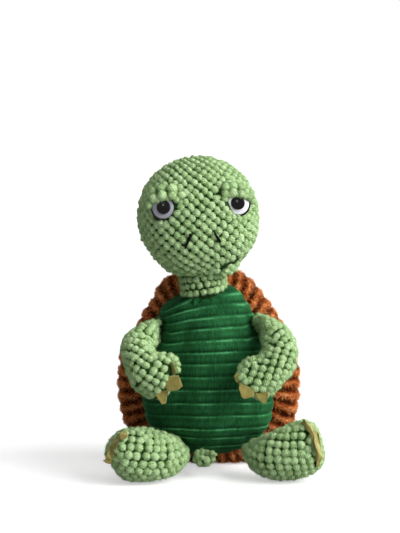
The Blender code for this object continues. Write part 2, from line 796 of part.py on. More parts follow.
def build_eye(name, side, face, stuffing):
    """One eye on its seat, with the stem through the cloth to a washer inside."""
    centre = face_point(side * EYE_SPREAD, EYE_HEIGHT)
    normal = face_normal(side * EYE_SPREAD, EYE_HEIGHT)
    facing = normal.to_track_quat("Z", "Y").to_matrix().to_4x4()
    place = HEAD_PLACE @ Matrix.Translation(centre) @ facing
    seat = -EYE_SEAT_DEPTH
    back = seat + SEAM_GAP
    top = back + EYE_BASE_THICKNESS
    washer_top = -EYE_SEAT_DEPTH - BOBBLE_CLOTH - SEAM_GAP
    washer_foot = washer_top - WASHER_THICKNESS
    stem_foot = -EYE_STEM_LENGTH
    chamfer = EYE_BASE_THICKNESS / 4
    turned(f"eye_{name}_base", [
        (0, top),
        (EYE_RADIUS - chamfer, top),
        (EYE_RADIUS, top - chamfer),
        (EYE_RADIUS, back),
        (EYE_STEM_RADIUS, back),
        (EYE_STEM_RADIUS, stem_foot),
        (0, stem_foot),
    ], place, "black")
    foot = top + SEAM_GAP
    inner = EYE_PUPIL_RADIUS + SEAM_GAP
    middle = (inner + EYE_WHITE_RADIUS) / 2
    turned(f"eye_{name}_white", [
        (inner, foot),
        (inner, foot + EYE_WHITE_CROWN),
        (middle, foot + EYE_WHITE_CROWN * EYE_WHITE_MIDDLE_SHARE),
        (EYE_WHITE_RADIUS, foot + EYE_WHITE_EDGE),
        (EYE_WHITE_RADIUS, foot),
    ], place, "white")
    brim = foot + EYE_WHITE_CROWN
    across, rise = EYE_PUPIL_MIDDLE_SHARES
    turned(f"eye_{name}_pupil", [
        (0, brim + EYE_PUPIL_CROWN),
        (EYE_PUPIL_RADIUS * across, brim + EYE_PUPIL_CROWN * rise),
        (EYE_PUPIL_RADIUS, brim),
        (EYE_PUPIL_RADIUS, foot),
        (0, foot),
    ], place, "black")
    turned(f"eye_{name}_washer", [
        (EYE_STEM_RADIUS + SEAM_GAP, washer_top),
        (WASHER_RADIUS, washer_top),
        (WASHER_RADIUS, washer_foot),
        (EYE_STEM_RADIUS + SEAM_GAP, washer_foot),
    ], place, "clear")
    stem_room = [
        (EYE_STEM_RADIUS + SEAM_GAP, stem_foot - SEAM_GAP),
        (0, stem_foot - SEAM_GAP),
    ]
    pocket = turned(f"eye_{name}_pocket", [
        (0, CUT_OVERRUN),
        (EYE_RADIUS + SEAM_GAP, CUT_OVERRUN),
        (EYE_RADIUS + SEAM_GAP, seat),
        (EYE_STEM_RADIUS + SEAM_GAP, seat),
        *stem_room,
    ], place, None, folder=CUTTERS)
    washer_room = turned(f"eye_{name}_washer_room", [
        (0, CUT_OVERRUN),
        (WASHER_RADIUS + SEAM_GAP, CUT_OVERRUN),
        (WASHER_RADIUS + SEAM_GAP, washer_foot - SEAM_GAP),
        (EYE_STEM_RADIUS + SEAM_GAP, washer_foot - SEAM_GAP),
        *stem_room,
    ], place, None, folder=CUTTERS)
    cut_with(face, as_cutter(pocket))
    cut_with(stuffing, as_cutter(washer_room))


def build_nostril(name, side):
    """A straight black stitch that lies on the face."""
    lift = NOSTRIL_THREAD_RADIUS + SEAM_GAP
    curve = bpy.data.curves.new("nostril_stitch_" + name, "CURVE")
    curve.dimensions = "3D"
    line = curve.splines.new("POLY")
    line.points.add(NOSTRIL_POINTS - 1)
    for step, point in enumerate(line.points):
        share = step / (NOSTRIL_POINTS - 1)
        across = NOSTRIL_TOP_SPREAD + share * (NOSTRIL_FOOT_SPREAD - NOSTRIL_TOP_SPREAD)
        height = NOSTRIL_TOP_Z + share * (NOSTRIL_FOOT_Z - NOSTRIL_TOP_Z)
        place = face_point(side * across, height)
        place += face_normal(side * across, height) * lift
        point.co = (*(HEAD_PLACE @ place), 1)
    curve.bevel_depth = NOSTRIL_THREAD_RADIUS
    curve.bevel_resolution = 1
    curve.use_fill_caps = True
    curve.materials.append(MATERIALS["black"].copy())
    made = bpy.data.objects.new("nostril_stitch_" + name, curve)
    PIECES.objects.link(made)


LIMBS = {
    "arm_left": Limb(SHOULDER_LEFT, ARM_LENGTH, ARM_RADIUS, ARM_LEFT_SHARES,
                     HAND_LEFT_WAY, HAND_CAP_LENGTH),
    "arm_right": Limb(SHOULDER_RIGHT, ARM_LENGTH, ARM_RADIUS, ARM_RIGHT_SHARES,
                      HAND_RIGHT_WAY, HAND_CAP_LENGTH),
    "leg_left": Limb(HIP_LEFT, LEG_LENGTH, LEG_RADIUS, LEG_LEFT_SHARES,
                     TOE_LEFT_WAY, TOE_CAP_LENGTH, rests=True),
    "leg_right": Limb(HIP_RIGHT, LEG_LENGTH, LEG_RADIUS, LEG_RIGHT_SHARES,
                      TOE_RIGHT_WAY, TOE_CAP_LENGTH, rests=True),
    "tail": Limb(TAIL_ROOT, TAIL_LENGTH, TAIL_RADIUS, TAIL_SHARES,
                 TAIL_TIP_WAY, TAIL_TIP_LENGTH),
}


def build_limbs():
    front = Vector((0, -1, -0.15))
    for side in ("left", "right"):
        arm = LIMBS["arm_" + side]
        limb_pieces("arm_" + side, "hand_pad_" + side, "hand_claws_" + side, arm,
                    HAND_CLAW_LENGTH, front)
        leg = LIMBS["leg_" + side]
        limb_pieces("leg_" + side, "toe_cap_" + side, "toe_claws_" + side, leg,
                    TOE_CLAW_LENGTH, front)


def build_tail():
    tail = LIMBS["tail"]
    skin = tail.nub(BOBBLE_CLOTH, TAIL_OPEN_TURN)
    new_object("tail_sleeve", to_mesh(skin, "tail_sleeve"), "bobble")
    stuffing = tail.whole(BOBBLE_CLOTH + STUFFING_GAP)
    new_object("tail_stuffing", to_mesh(stuffing, "tail_stuffing"), "stuffing")


def add_pivot(name, location, starts, parent=None):
    """An empty on a joint's axis, as the parent of the pieces whose names start as given."""
    pivot = bpy.data.objects.new(name + "_pivot", None)
    PIECES.objects.link(pivot)
    pivot.location = location
    if parent:
        pivot.parent = parent
        pivot.matrix_parent_inverse = Matrix.Translation(-parent.location)
    for piece in PIECES.objects:
        if piece.name.startswith(starts) and not piece.parent and piece is not pivot:
            piece.parent = pivot
            piece.matrix_parent_inverse = Matrix.Translation(-pivot.location)
    return pivot


def add_pivots():
    neck = add_pivot("neck", NECK_FOOT, ("neck_",))
    add_pivot("head", NECK_HEAD, ("head_", "face_", "eye_", "nostril_"), neck)
    add_pivot("tail", TAIL_ROOT, ("tail_",))
    for side in ("left", "right"):
        arm = (f"arm_{side}_", f"hand_pad_{side}", f"hand_claws_{side}")
        leg = (f"leg_{side}_", f"toe_cap_{side}", f"toe_claws_{side}")
        add_pivot("arm_" + side, LIMBS["arm_" + side].root, arm)
        add_pivot("leg_" + side, LIMBS["leg_" + side].root, leg)


build_trunk()
build_pad()
build_neck()
build_head()
build_limbs()
build_tail()
add_pivots()
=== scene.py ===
"""The plush turtle, dressed over its frame: bobble knit, ribbed velour, brown pile and felt claws.

Metres, +Z up, the turtle faces -Y. Left and right are the turtle's own, so its left is at +X.
"""

import math

import bmesh
import bpy
import numpy as np
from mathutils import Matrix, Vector, noise as turbulence
from mathutils.bvhtree import BVHTree


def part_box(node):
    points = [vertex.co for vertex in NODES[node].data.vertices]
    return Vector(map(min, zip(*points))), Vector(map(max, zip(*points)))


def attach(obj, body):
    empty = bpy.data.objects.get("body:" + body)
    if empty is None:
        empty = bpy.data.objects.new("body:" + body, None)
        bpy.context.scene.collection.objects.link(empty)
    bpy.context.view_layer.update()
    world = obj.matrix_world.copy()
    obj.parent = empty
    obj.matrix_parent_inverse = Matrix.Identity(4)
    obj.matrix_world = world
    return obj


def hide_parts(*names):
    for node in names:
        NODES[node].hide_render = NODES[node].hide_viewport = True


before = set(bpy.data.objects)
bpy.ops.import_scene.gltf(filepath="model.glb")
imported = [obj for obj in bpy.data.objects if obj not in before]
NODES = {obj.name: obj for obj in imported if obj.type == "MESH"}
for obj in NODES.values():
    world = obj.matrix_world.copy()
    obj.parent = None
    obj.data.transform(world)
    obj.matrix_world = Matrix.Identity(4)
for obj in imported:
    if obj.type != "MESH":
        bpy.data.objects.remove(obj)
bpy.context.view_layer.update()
MM = 0.001
RIGHT, BACK, UP = Vector((1, 0, 0)), Vector((0, 1, 0)), Vector((0, 0, 1))
SIDES = ("left", "right")

# The camera: straight in front, a little above, far off with a long lens
CAMERA_TARGET = Vector((-0.0112, 0, 0.1827))
CAMERA_TILT = math.radians(8)
CAMERA_DISTANCE = 2.2
CAMERA_LENS = 225
CAMERA_SENSOR = 36
METRES_PER_PIXEL = 0.00088
PHOTO_MIDDLE = (200, 266.5)
CAMERA_WAY = Vector((0, math.cos(CAMERA_TILT), -math.sin(CAMERA_TILT)))
CAMERA_UP = Vector((0, math.sin(CAMERA_TILT), math.cos(CAMERA_TILT)))
CAMERA_PLACE = CAMERA_TARGET - CAMERA_DISTANCE * CAMERA_WAY
PIXEL_SHARE = METRES_PER_PIXEL / CAMERA_DISTANCE
LAMP_WAY = Vector((-0.06, -0.84, 0.54)).normalized()

# All bobbles: how far each swells past its pitch, how deep it sits, how thick it is, how it varies
BOBBLE_SWELL = 1.15
BOBBLE_SINK = 0.0012
BOBBLE_THICK = 0.0070
BOBBLE_LEAN = 0.10
BOBBLE_JITTER = 0.24
DRIFT_SCALE = 55
FLOOR_CLEAR = 0.0002
# The cloth is mended where the nearest bobble is this many pitches away
BARE = 0.72
# A limb's knit: longer than any limb is thick, how far it runs back over the ball and on which share of
# the ball it is mended, how far round each face goes, and which share of a strip by a seam is bare
LIMB_REACH = 0.06
BALL_TURN = math.radians(70)
BALL_MENDED = 1.3
FACE_TURN = math.pi / 2 - 0.08
STRIP_SHARE = 0.9

# The head: its middle and radius, its rows' slant, its bobbles' pitch, size and turn, and the cloth's wrap
HEAD_MIDDLE = Vector((-0.0130, -0.0040, 0.2280))
HEAD_RADIUS = 0.0515
HEAD_ROW_SLOPE = math.radians(-40)
HEAD_PITCH = (0.0068, 0.0068)
HEAD_BOBBLE = (0.0074, 0.0088)
HEAD_BOBBLE_TURN = math.radians(22)
HEAD_WRAP = 2.6
HEAD_ROWS = 16
# Bobbles near the side seam are smaller and stand prouder, which roughens the outline
SEAM_REACH = 0.024
SEAM_SHRINK = 0.14
SEAM_RISE = 0.0012
SEAM_BARE = (-0.002, 0.012, 0.60)
# The opening for the neck: its middle, radius and upper edge
NECK_HOLE = (-0.010, 0.024, 0.195)
# How far round the knit of the front and of the back goes
HEAD_EDGES = ((-1, math.radians(93)), (1, math.radians(84)))
# How far the knit keeps from the middles of the left and the right eye, and which share of that it leaves
# out, where the bobbles beyond are pushed to the ring
EYE_SURROUND = (0.0130, 0.0139)
EYE_BARE = 0.73

# The eyes' mouldings: radius, height at the pole and radius of the dome; and how deep an eye sits
WHITE_TOP = 0.0034
PUPIL_ROUND = 0.022
RIM_FORM = (0.0108, 0.0016, 0.09)
WHITE_FORM = (0.0091, WHITE_TOP, 0.030)
PUPIL_FORM = (0.0056, 0.0018, PUPIL_ROUND)
EYE_SINK = 0.0012
# Each eye on the photograph: middle, way it looks, pupil's middle, and where its highlight sits
EYES = {
    "right": ((163.4, 207.8), (-0.17, -0.980, 0.09), (163.7, 207.4), (-0.0006, 0.0025)),
    "left": ((238.0, 203.8), (0.19, -0.975, 0.10), (237.7, 203.0), (-0.0005, 0.0021)),
}
# Brow bobbles on the photograph: across, down, size, and how far each stands out from the eye, in mm
BROWS = {
    "right": (
        (172.2, 195.6, 9.2, 4.0), (162.2, 195.8, 9.2, 4.2), (153.4, 198.8, 8.6, 3.6),
        (149.0, 205.2, 7.4, 1.5), (167.2, 198.0, 6.4, 3.6), (157.2, 199.6, 6.6, 3.6),
        (176.8, 199.6, 6.6, 2.2), (181.0, 202.6, 6.6, 0.0), (181.4, 195.2, 7.6, 0.6),
    ),
    "left": (
        (225.4, 193.8, 8.2, 2.4), (233.2, 192.9, 8.2, 3.6), (241.3, 194.0, 8.2, 3.8),
        (249.2, 197.2, 8.0, 2.6), (237.2, 194.8, 6.0, 3.4), (245.2, 196.4, 6.0, 3.2),
        (229.2, 194.8, 6.0, 3.0), (219.2, 197.6, 7.0, 0.0), (252.6, 201.4, 5.6, 0.4),
    ),
}
# How far a brow's bobbles stand off on top of that, and the way their rows run. One wider than this has
# another behind it: so many pixels higher, and this share of the way back to the head
BROW_LIFT = 0.0004
BROW_ROW = Vector((1, 0, -0.3))
BROW_BACKED = 8
BROW_RISE = 7.0
BROW_DEPTH = 0.55
# The head is slimmer towards the chin: height and share of the width
CHIN = ((0.1790, 0.87), (0.1864, 0.90), (0.1971, 0.94), (0.2080, 1.0))
# The fold of the jaw on the photograph, and half the width that the knit leaves open along it
JAW_FOLD = ((223.5, 266.0), (233.0, 261.6), (243.0, 257.0))
FOLD_HALF = 0.0052
# Bobbles of the cheek below the fold: across, down, depth and size in mm
CHEEK = (
    (237.0, 264.0, -15, 7.0), (235.0, 268.2, -15, 7.0), (231.6, 267.6, -20, 7.2), (229.6, 271.6, -19, 7.0),
    (226.0, 270.4, -25, 7.0), (223.8, 273.6, -24, 6.8),
)
# Nostril stitches on the photograph: across, down and radius in mm, and how proud of the head they lie
NOSTRILS = {
    "right": ((191.2, 233.4, 1.35), (189.8, 237.6, 1.3), (187.4, 242.6, 0.95), (185.2, 247.4, 0.6)),
    "left": ((213.8, 231.8, 0.55), (215.6, 235.0, 0.95), (217.7, 238.4, 1.2), (219.9, 241.8, 0.95)),
}
NOSTRIL_RISE = 0.0026

# A shoulder's tuck: the height that it comes in over, its slope, its most, and how far it draws inwards
TUCK_BLEND = 0.008
TUCK_SLOPE = 1.9
TUCK_MOST = 0.013
TUCK_IN = 0.25

# Knit tubes, in metres: the middle line from the joint to the end seam, the way that the end looks,
# radii of the ball, the end and its cap, and the cloth's two lattice ways, each in degrees and pitch.
# A ring at the end has end_count bobbles, clear is bare beside the seam, and tuck is where a shoulder
# goes in. On the photograph, ease bends the outline and extra adds a bobble: across, down, y and size.
RING_PITCH = 0.0066
ARM_LEFT = {
    "line": ((0.0396, -0.0176, 0.1320), (0.0469, -0.0244, 0.1296), (0.0532, -0.0308, 0.1264),
             (0.0574, -0.0363, 0.1205), (0.0588, -0.0416, 0.1136), (0.0554, -0.0476, 0.1066),
             (0.0496, -0.0528, 0.1000), (0.0429, -0.0553, 0.0946), (0.0356, -0.0568, 0.0896)),
    "end_way": (-0.638, 0.219, -0.738), "ball": 0.0133, "end": 0.0194, "cap": 0.0095,
    "cloth": ((-30, 0.0066), (58, 0.0066)), "end_count": 15, "clear": 0.0026, "tuck": (0.0432, 1, 0.1110),
    "ease": ((252, 331, 12, 7.5, 0), (257, 311, 8, 2, 3), (299, 352, 15, -1.6, 0), (288, 385, 9, -3, -1),
             (247, 363, 10, 0, -6.5)),
    "extra": ((245.4, 381.4, None, 7.2), (241.2, 377.6, None, 6.8)),
}
ARM_RIGHT = {
    "line": ((-0.0505, -0.0202, 0.1265), (-0.0580, -0.0280, 0.1245), (-0.0641, -0.0354, 0.1217),
             (-0.0667, -0.0414, 0.1165), (-0.0665, -0.0466, 0.1105), (-0.0635, -0.0513, 0.1045),
             (-0.0585, -0.0550, 0.0989), (-0.0520, -0.0571, 0.0948), (-0.0447, -0.0586, 0.0913)),
    "end_way": (0.881, 0.250, -0.401), "ball": 0.0133, "end": 0.0190, "cap": 0.0095,
    "cloth": ((-30, 0.0066), (55, 0.0066)), "end_count": 15, "clear": 0.0026, "tuck": (-0.0500, -1, 0.1110),
    "ease": ((117, 364, 16, 6.5, 0), (122, 382, 10, 3, -1), (166, 333, 11, -5.5, 0), (166, 362, 9, 2, -7)),
    "extra": ((170.6, 356.4, -60, 7.4), (174.2, 359.6, -61, 7.4), (176.6, 364.4, -63, 7.0),
              (177.4, 370.0, -66, 6.6), (172.6, 364.0, -62, 7.0), (173.8, 370.0, -65, 6.6)),
}
LEG_LEFT = {
    "line": ((0.0385, -0.0245, 0.0250), (0.0416, -0.0319, 0.0233), (0.0455, -0.0385, 0.0221),
             (0.0519, -0.0427, 0.0223), (0.0595, -0.0455, 0.0231), (0.0677, -0.0471, 0.0249),
             (0.0756, -0.0479, 0.0269), (0.0814, -0.0486, 0.0288), (0.0864, -0.0490, 0.0306)),
    "end_way": (0.935, -0.151, 0.322), "ball": 0.0139, "end": 0.0209, "cap": 0.0090,
    "cloth": ((0, 0.0073), (-84, 0.0071)), "end_count": 17, "clear": 0.0,
    "ease": ((250, 437, 12, 0, 7), (303, 424, 14, 0, -5.5), (321, 431, 10, 1, -5), (282, 484, 22, 0, -2.2)),
    "extra": ((309.6, 441.4, None, 7.0),),
}
LEG_RIGHT = {
    "line": ((-0.0330, -0.0290, 0.0230), (-0.0364, -0.0375, 0.0224), (-0.0407, -0.0447, 0.0219),
             (-0.0479, -0.0482, 0.0217), (-0.0561, -0.0500, 0.0219), (-0.0644, -0.0514, 0.0234),
             (-0.0722, -0.0525, 0.0253), (-0.0780, -0.0534, 0.0275), (-0.0830, -0.0542, 0.0299)),
    "end_way": (-0.784, -0.151, 0.603), "ball": 0.0144, "end": 0.0202, "cap": 0.0090,
    "cloth": ((-2, 0.0073), (80, 0.0071)), "end_count": 17, "clear": 0.0,
    "ease": ((138, 428, 24, 0, -3.4), (190, 440, 11, -4, 4), (150, 485, 24, 0, -3), (108, 467, 14, 6, -4)),
    "extra": ((122.8, 447.6, None, 7.2),),
}
TAIL = {
    "line": ((-0.0080, -0.0178, 0.0168), (-0.0097, -0.0240, 0.0157), (-0.0102, -0.0295, 0.0150),
             (-0.0070, -0.0330, 0.0153), (-0.0026, -0.0358, 0.0159)),
    "end_way": (0.865, -0.402, 0.302), "ball": 0.0054, "end": 0.0061, "cap": 0.0050,
    "cloth": ((-20, 0.0058), (62, 0.0058)), "end_count": 5, "clear": 0.0,
    "ease": ((206, 457, 30, 0, -2.6),),
    "extra": ((212.4, 453.2, -38, 5.0), (215.4, 454.6, -38, 3.2)),
}
NECK_FOOT = Vector((-0.0078, -0.0025, 0.1602))
NECK_TILT = Vector((-0.17, -0.02, 1.0)).normalized()
NECK_HEAD = Vector((-0.0100, -0.0030, 0.1900))
NECK_AROUND = 20
NECK_PITCH = 0.0056
# The neck's bobbles: how far each swells past its pitch, how loose they sit, and where the head hides them
NECK_SWELL = 1.12
NECK_LOOSE = 0.0024
NECK_TOP = 0.186
# Which share of its width and depth the tube loses below the foot
NECK_IN = (0.18, 0.14)

# Belly ribs: heights of the grooves on the middle line, and how much a rib drops to the sides
BELLY_ARCH = (
    (0.0175, 0.0), (0.045, 0.8), (0.070, 1.6), (0.095, 1.2), (0.1132, 1.7), (0.1234, 2.2), (0.1344, 2.7),
    (0.150, 3.4), (0.160, 4.0),
)
BELLY_MIDDLE = ((0.03, -0.004), (0.085, -0.002), (0.12, 0.008), (0.16, 0.014))
BELLY_GROOVES = (
    0.0175, 0.0275, 0.0362, 0.0453, 0.0575, 0.0694, 0.0810, 0.0925, 0.1037, 0.1140, 0.1242,
    0.1345, 0.1438, 0.1522, 0.1588,
)
BELLY_EASE = ((233, 290, 15, 1, -4.2), (182, 298, 12, 1, -3), (206, 296, 13, 0, -3), (160, 316, 9, 3, 0))
# The trunk's axis across and back, its lowest and highest row, and the levels that a rib stays between
BELLY_AXIS = (-0.0050, -0.0040)
BELLY_SPAN = (0.0165, 0.1612)
BELLY_LEVELS = (0.0155, 0.1614)
BELLY_ROWS = 230
BELLY_COLUMNS = 132
BELLY_LEAST = 0.010
BELLY_OUT = 0.09
BELLY_HALF = 0.060
# Above the shoulder only the front of the trunk is closed over its dents
BELLY_SHOULDER = 0.147
BELLY_BLEND = 0.006
BELLY_FRONT = -0.86
# How far the back of the trunk reaches to the shell, and from which depth and over how much of it; then
# how wide and deep the grooves are
BACK_REACH = 0.0018
BACK_START = 0.006
BACK_BLEND = 0.010
GROOVE_HALF = 0.0017
GROOVE_DEPTH = 0.0011
# The painted highlight of the lip lies this far below a groove and is this wide, and a rib reaches this far
# to either side
LIP_DROP = 0.0014
LIP_HALF = 0.0008
RIB_HALF = 0.006

# Shell: where its form is eased to the outline, and ribs that run over the rim
SHELL_EASE = ((130, 318, 20, 7.5, 3), (146, 296, 16, 4, 3), (288, 312, 20, -6.5, 3), (262, 292, 16, -3, 3))
SHELL_RIB_PITCH = 0.0114
SHELL_RIB_HEIGHT = 0.0044
# The middle that its rings look out from, back and up, how far they tilt in degrees, and their number
SHELL_MIDDLE = (0.0400, 0.0740)
SHELL_TILT = 84
SHELL_ROWS = 64
# Its ribs come up from one tilt and are gone at another, each over some degrees, and stay faint before;
# below the last tilt painted shade darkens it towards the belly
SHELL_FADE = (-48, 62, 30)
SHELL_FAINT = 0.12
SHELL_SHADE = -28

# Felt claws as they show on the photograph: each tooth's corners, and how far each stands out in mm
CLAW_THICK = {"hand": 0.0016, "toe": 0.0038}
CLAWS = {
    "hand_claws_right": (
        ((165.2, 386.0, 2.4), (168.8, 376.8, 2.2), (178.7, 375.2, 3.6), (182.6, 386.2, 4.4),
         (177.6, 390.4, 4.2), (168.0, 391.4, 3.0)),
        ((157.5, 388.5, 1.0), (166.5, 390.0, 1.6), (168.6, 391.6, 2.8), (166.7, 397.9, 3.2),
         (166.0, 403.4, 3.6), (162.2, 404.6, 3.6), (155.3, 395.2, 2.4)),
        ((169.6, 361.6, 0.4), (172.8, 362.3, 6.0), (176.4, 374.0, 7.4), (172.8, 375.8, 1.6)),
    ),
    "hand_claws_left": (
        ((239.6, 382.8, 1.4), (238.8, 388.3, 3.0), (241.7, 397.2, 4.2), (244.8, 399.0, 4.4),
         (254.2, 396.6, 3.6), (253.8, 389.6, 1.6), (246.5, 385.5, 1.2)),
        ((254.4, 392.6, 2.6), (258.5, 399.8, 3.6), (263.4, 404.2, 4.4), (266.0, 402.6, 4.4),
         (268.8, 395.0, 3.4), (267.0, 390.6, 1.4), (258.5, 389.6, 1.2)),
        ((236.8, 372.6, 2.4), (233.7, 376.0, 2.4), (236.0, 382.0, 2.4), (239.6, 383.6, 2.4),
         (240.6, 378.0, 1.4)),
    ),
    "toe_claws_right": (
        ((114.6, 439.8, 6.2), (118.9, 432.8, 6.8), (126.4, 430.2, 7.2), (128.4, 435.9, 7.4),
         (126.2, 438.5, 7.2), (121.0, 440.2, 6.6)),
        ((113.8, 438.6, 8.6), (109.6, 446.0, 9.0), (106.6, 453.8, 9.0), (105.2, 459.4, 8.6),
         (112.0, 460.2, 8.4), (114.4, 452.2, 8.8), (117.0, 446.2, 9.0), (118.4, 440.2, 8.6)),
        ((102.4, 460.4, 6.8), (108.0, 458.6, 7.0), (111.8, 459.2, 6.6), (111.0, 464.4, 6.6),
         (106.0, 463.2, 6.8)),
    ),
    "toe_claws_left": (
        ((304.0, 418.4, 4.0), (300.8, 423.4, 4.0), (309.0, 432.0, 4.5), (312.4, 437.0, 4.8),
         (312.0, 441.4, 5.0), (315.2, 450.4, 5.4), (316.8, 458.4, 5.4), (316.0, 466.0, 5.0),
         (320.2, 465.6, 8.0), (319.4, 456.0, 10.5), (316.4, 448.4, 10.5), (314.4, 442.4, 10.0),
         (314.8, 436.0, 9.5), (311.8, 430.2, 8.5), (307.2, 422.6, 6.0)),
        ((307.0, 421.0, 6.0), (311.0, 429.2, 9.0), (314.4, 435.4, 10.0), (314.2, 443.0, 10.5),
         (317.2, 450.6, 11.0), (320.2, 462.4, 9.0), (322.8, 458.4, 7.0), (320.6, 448.2, 6.5),
         (319.2, 434.4, 6.0), (314.2, 427.6, 6.0)),
    ),
}


def linear(code):
    """An sRGB hex colour as the linear colour that the nodes take."""
    shares = [int(code[place:place + 2], 16) / 255 for place in (1, 3, 5)]
    return [s / 12.92 if s <= 0.04045 else ((s + 0.055) / 1.055) ** 2.4 for s in shares] + [1.0]


def add(tree, kind, inputs=None, **settings):
    """Add a node with its settings. Each input takes a value, an output, or a node's first output."""
    node = tree.nodes.new(kind)
    for setting, value in settings.items():
        setattr(node, setting, value)
    for name, value in (inputs or {}).items():
        if isinstance(value, bpy.types.Node):
            value = value.outputs[0]
        if isinstance(value, bpy.types.NodeSocket):
            tree.links.new(value, node.inputs[name])
        else:
            node.inputs[name].default_value = value
    return node


def finish(name, **values):
    """A material with one shader, its even values set on the shader itself, and its node tree."""
    made = bpy.data.materials.new(name)
    made.use_nodes = True
    shader = made.node_tree.nodes["Principled BSDF"]
    for socket, value in values.items():
        shader.inputs[socket.replace("_", " ")].default_value = value
    return made, made.node_tree


def cloth(name, sheen, tint):
    """A matt cloth: hardly any gloss, and a soft bloom of fibre ends at the edges."""
    return finish(
        name, Roughness=1.0, Specular_IOR_Level=0.08, Sheen_Weight=sheen, Sheen_Roughness=0.5,
        Sheen_Tint=linear(tint),
    )


def dress(made, factor, stops, bump=None, depth=0.0, strength=1.0):
    """Colour a material along a factor, by stops of place and hex code, and give it any bump it has."""
    tree = made.node_tree
    shader = tree.nodes["Principled BSDF"]
    colours = add(tree, "ShaderNodeValToRGB", {"Fac": factor})
    run = colours.color_ramp.elements
    while len(run) < len(stops):
        run.new(0.5)
    for element, (place, code) in zip(run, stops):
        element.position = place
        element.color = linear(code)
    tree.links.new(colours.outputs["Color"], shader.inputs["Base Color"])
    if bump is not None:
        relief = add(tree, "ShaderNodeBump", {"Height": bump, "Strength": strength, "Distance": depth})
        tree.links.new(relief.outputs["Normal"], shader.inputs["Normal"])
    return made


def noise(tree, size, detail=3.0, roughness=0.6, stretch=(1, 1, 1)):
    """Noise whose features measure about size metres, stretched along an axis if asked."""
    place = add(tree, "ShaderNodeTexCoord").outputs["Object"]
    turned = add(tree, "ShaderNodeMapping", {"Vector": place, "Scale": [1 / s for s in stretch]})
    made = add(tree, "ShaderNodeTexNoise", {
        "Vector": turned, "Scale": 1 / size, "Detail": detail, "Roughness": roughness,
    })
    return made.outputs["Fac"]


def sums(tree, *terms, start=0.0):
    """A start value and each term's output times its weight, added up."""
    for output, weight in terms:
        start = add(tree, "ShaderNodeMath", {0: output, 1: weight, 2: start}, operation="MULTIPLY_ADD")
    return start.outputs[0]


def bobble_yarn():
    """Chenille yarn, knitted in bobbles: matt and downy, with painted shade that keeps the crowns light and
    darkens the feet of the bobbles.
    """
    made, tree = cloth("chenille_bobble_yarn", 0.15, "#cfe6b8")
    # Single fibres are too fine to show, so the yarn's fuzz is drawn a millimetre coarse
    rise, tone, across = (
        add(tree, "ShaderNodeAttribute", attribute_name=name).outputs["Fac"]
        for name in ("rise", "tone", "strand")
    )
    strand = sums(tree, (across, 24.0), (noise(tree, 2.4 * MM), 7.0), (tone, 6.0))
    strand = add(tree, "ShaderNodeMath", {0: strand}, operation="SINE").outputs[0]
    # Painted shade: rise, the height on each ball, darkens the yarn towards the foot of every bobble
    factor = sums(
        tree, (rise, 0.80), (noise(tree, 1.3 * MM), 1.30), (noise(tree, 9 * MM, 2.0), 0.30), (tone, 0.20),
        (strand, 0.06), start=-0.24,
    )
    stops = (0.12, "#1b3010"), (0.34, "#53793c"), (0.58, "#91b574"), (0.82, "#aece91"), (1.0, "#c6e4ad")
    bump = sums(tree, (noise(tree, 1.2 * MM, 4.0), 1.0), (strand, 0.22))
    return dress(made, factor, stops, bump, 0.0011)


def painted_shade_ground():
    """The flat ground of the knit, painted dark green as shade, seen only as the holes between the bobbles.
    """
    made, tree = cloth("knit_ground", 0.0, "#ffffff")
    stops = (0.35, "#14260d"), (0.65, "#2c4a1e")
    return dress(made, noise(tree, 2.5 * MM), stops, noise(tree, 1.2 * MM), 0.0004)


def belly_velour():
    """Wide-rib velour: short dense nap with a soft bloom, and fine streaks where it is brushed down."""
    made, tree = cloth("ribbed_green_velour", 0.10, "#6fc487")
    # The nap is too fine to show, so its streaks are drawn 0.7 to 1.6 mm wide
    streak = noise(tree, 1.6 * MM, 4.0, 0.7, (1, 1, 6))
    # Painted light: rise brightens the lip under each groove and darkens down each rib and into the grooves
    rise = add(tree, "ShaderNodeAttribute", attribute_name="rise").outputs["Fac"]
    factor = sums(tree, (streak, 0.7), (noise(tree, 14 * MM, 2.0), 0.3), (rise, 0.35))
    stops = (0.10, "#05170a"), (0.32, "#0e3519"), (0.52, "#1c502b"), (0.75, "#2c6b3e"), (0.95, "#519a65")
    return dress(made, factor, stops, noise(tree, 0.7 * MM, 3.0, 0.6, (1, 1, 4)), 0.0004)


def shell_pile():
    """Cut pile, rust brown: matt, with painted shade that darkens it down in the pile and lightens it
    towards its tips.
    """
    made, tree = cloth("rust_brown_pile", 0.15, "#f0a868")
    # Single fibres are too fine to show, so the pile is mottled in locks of a millimetre
    rise, tip = (
        add(tree, "ShaderNodeAttribute", attribute_name=name).outputs["Fac"] for name in ("rise", "tip")
    )
    # Painted light: rise lightens the rib crowns and shades towards the belly; tip paints shade down at the
    # roots of the tufts
    factor = sums(
        tree, (noise(tree, 1.4 * MM, 4.0), 0.7), (noise(tree, 6 * MM, 2.0), 0.9), (rise, 0.80),
        (tip, 0.42), start=-0.75,
    )
    stops = (0.20, "#140803"), (0.44, "#4e220c"), (0.66, "#93451b"), (0.84, "#c76f35"), (1.0, "#f0ad74")
    return dress(made, factor, stops, noise(tree, 0.9 * MM, 4.0), 0.0007)


def claw_felt():
    """Pressed wool felt, olive: a matt mat of short fibres, with a painted sheen that lightens its cut
    edge.
    """
    made, tree = cloth("olive_felt", 0.1, "#d8d8a8")
    # Wool fibres are too fine to show, so the mat is drawn half a millimetre coarse
    fibre = noise(tree, 0.6 * MM, 5.0, 0.75)
    # Painted sheen: rise lightens the felt where it turns edge-on to the camera
    rise = add(tree, "ShaderNodeAttribute", attribute_name="rise").outputs["Fac"]
    factor = sums(tree, (fibre, 0.6), (noise(tree, 5 * MM, 2.0), 0.4), (rise, 0.3))
    stops = (0.30, "#6b6232"), (0.5, "#8d8347"), (0.66, "#a0985c"), (0.85, "#c4c08c")
    return dress(made, factor, stops, noise(tree, 0.5 * MM, 5.0, 0.75), 0.0003)


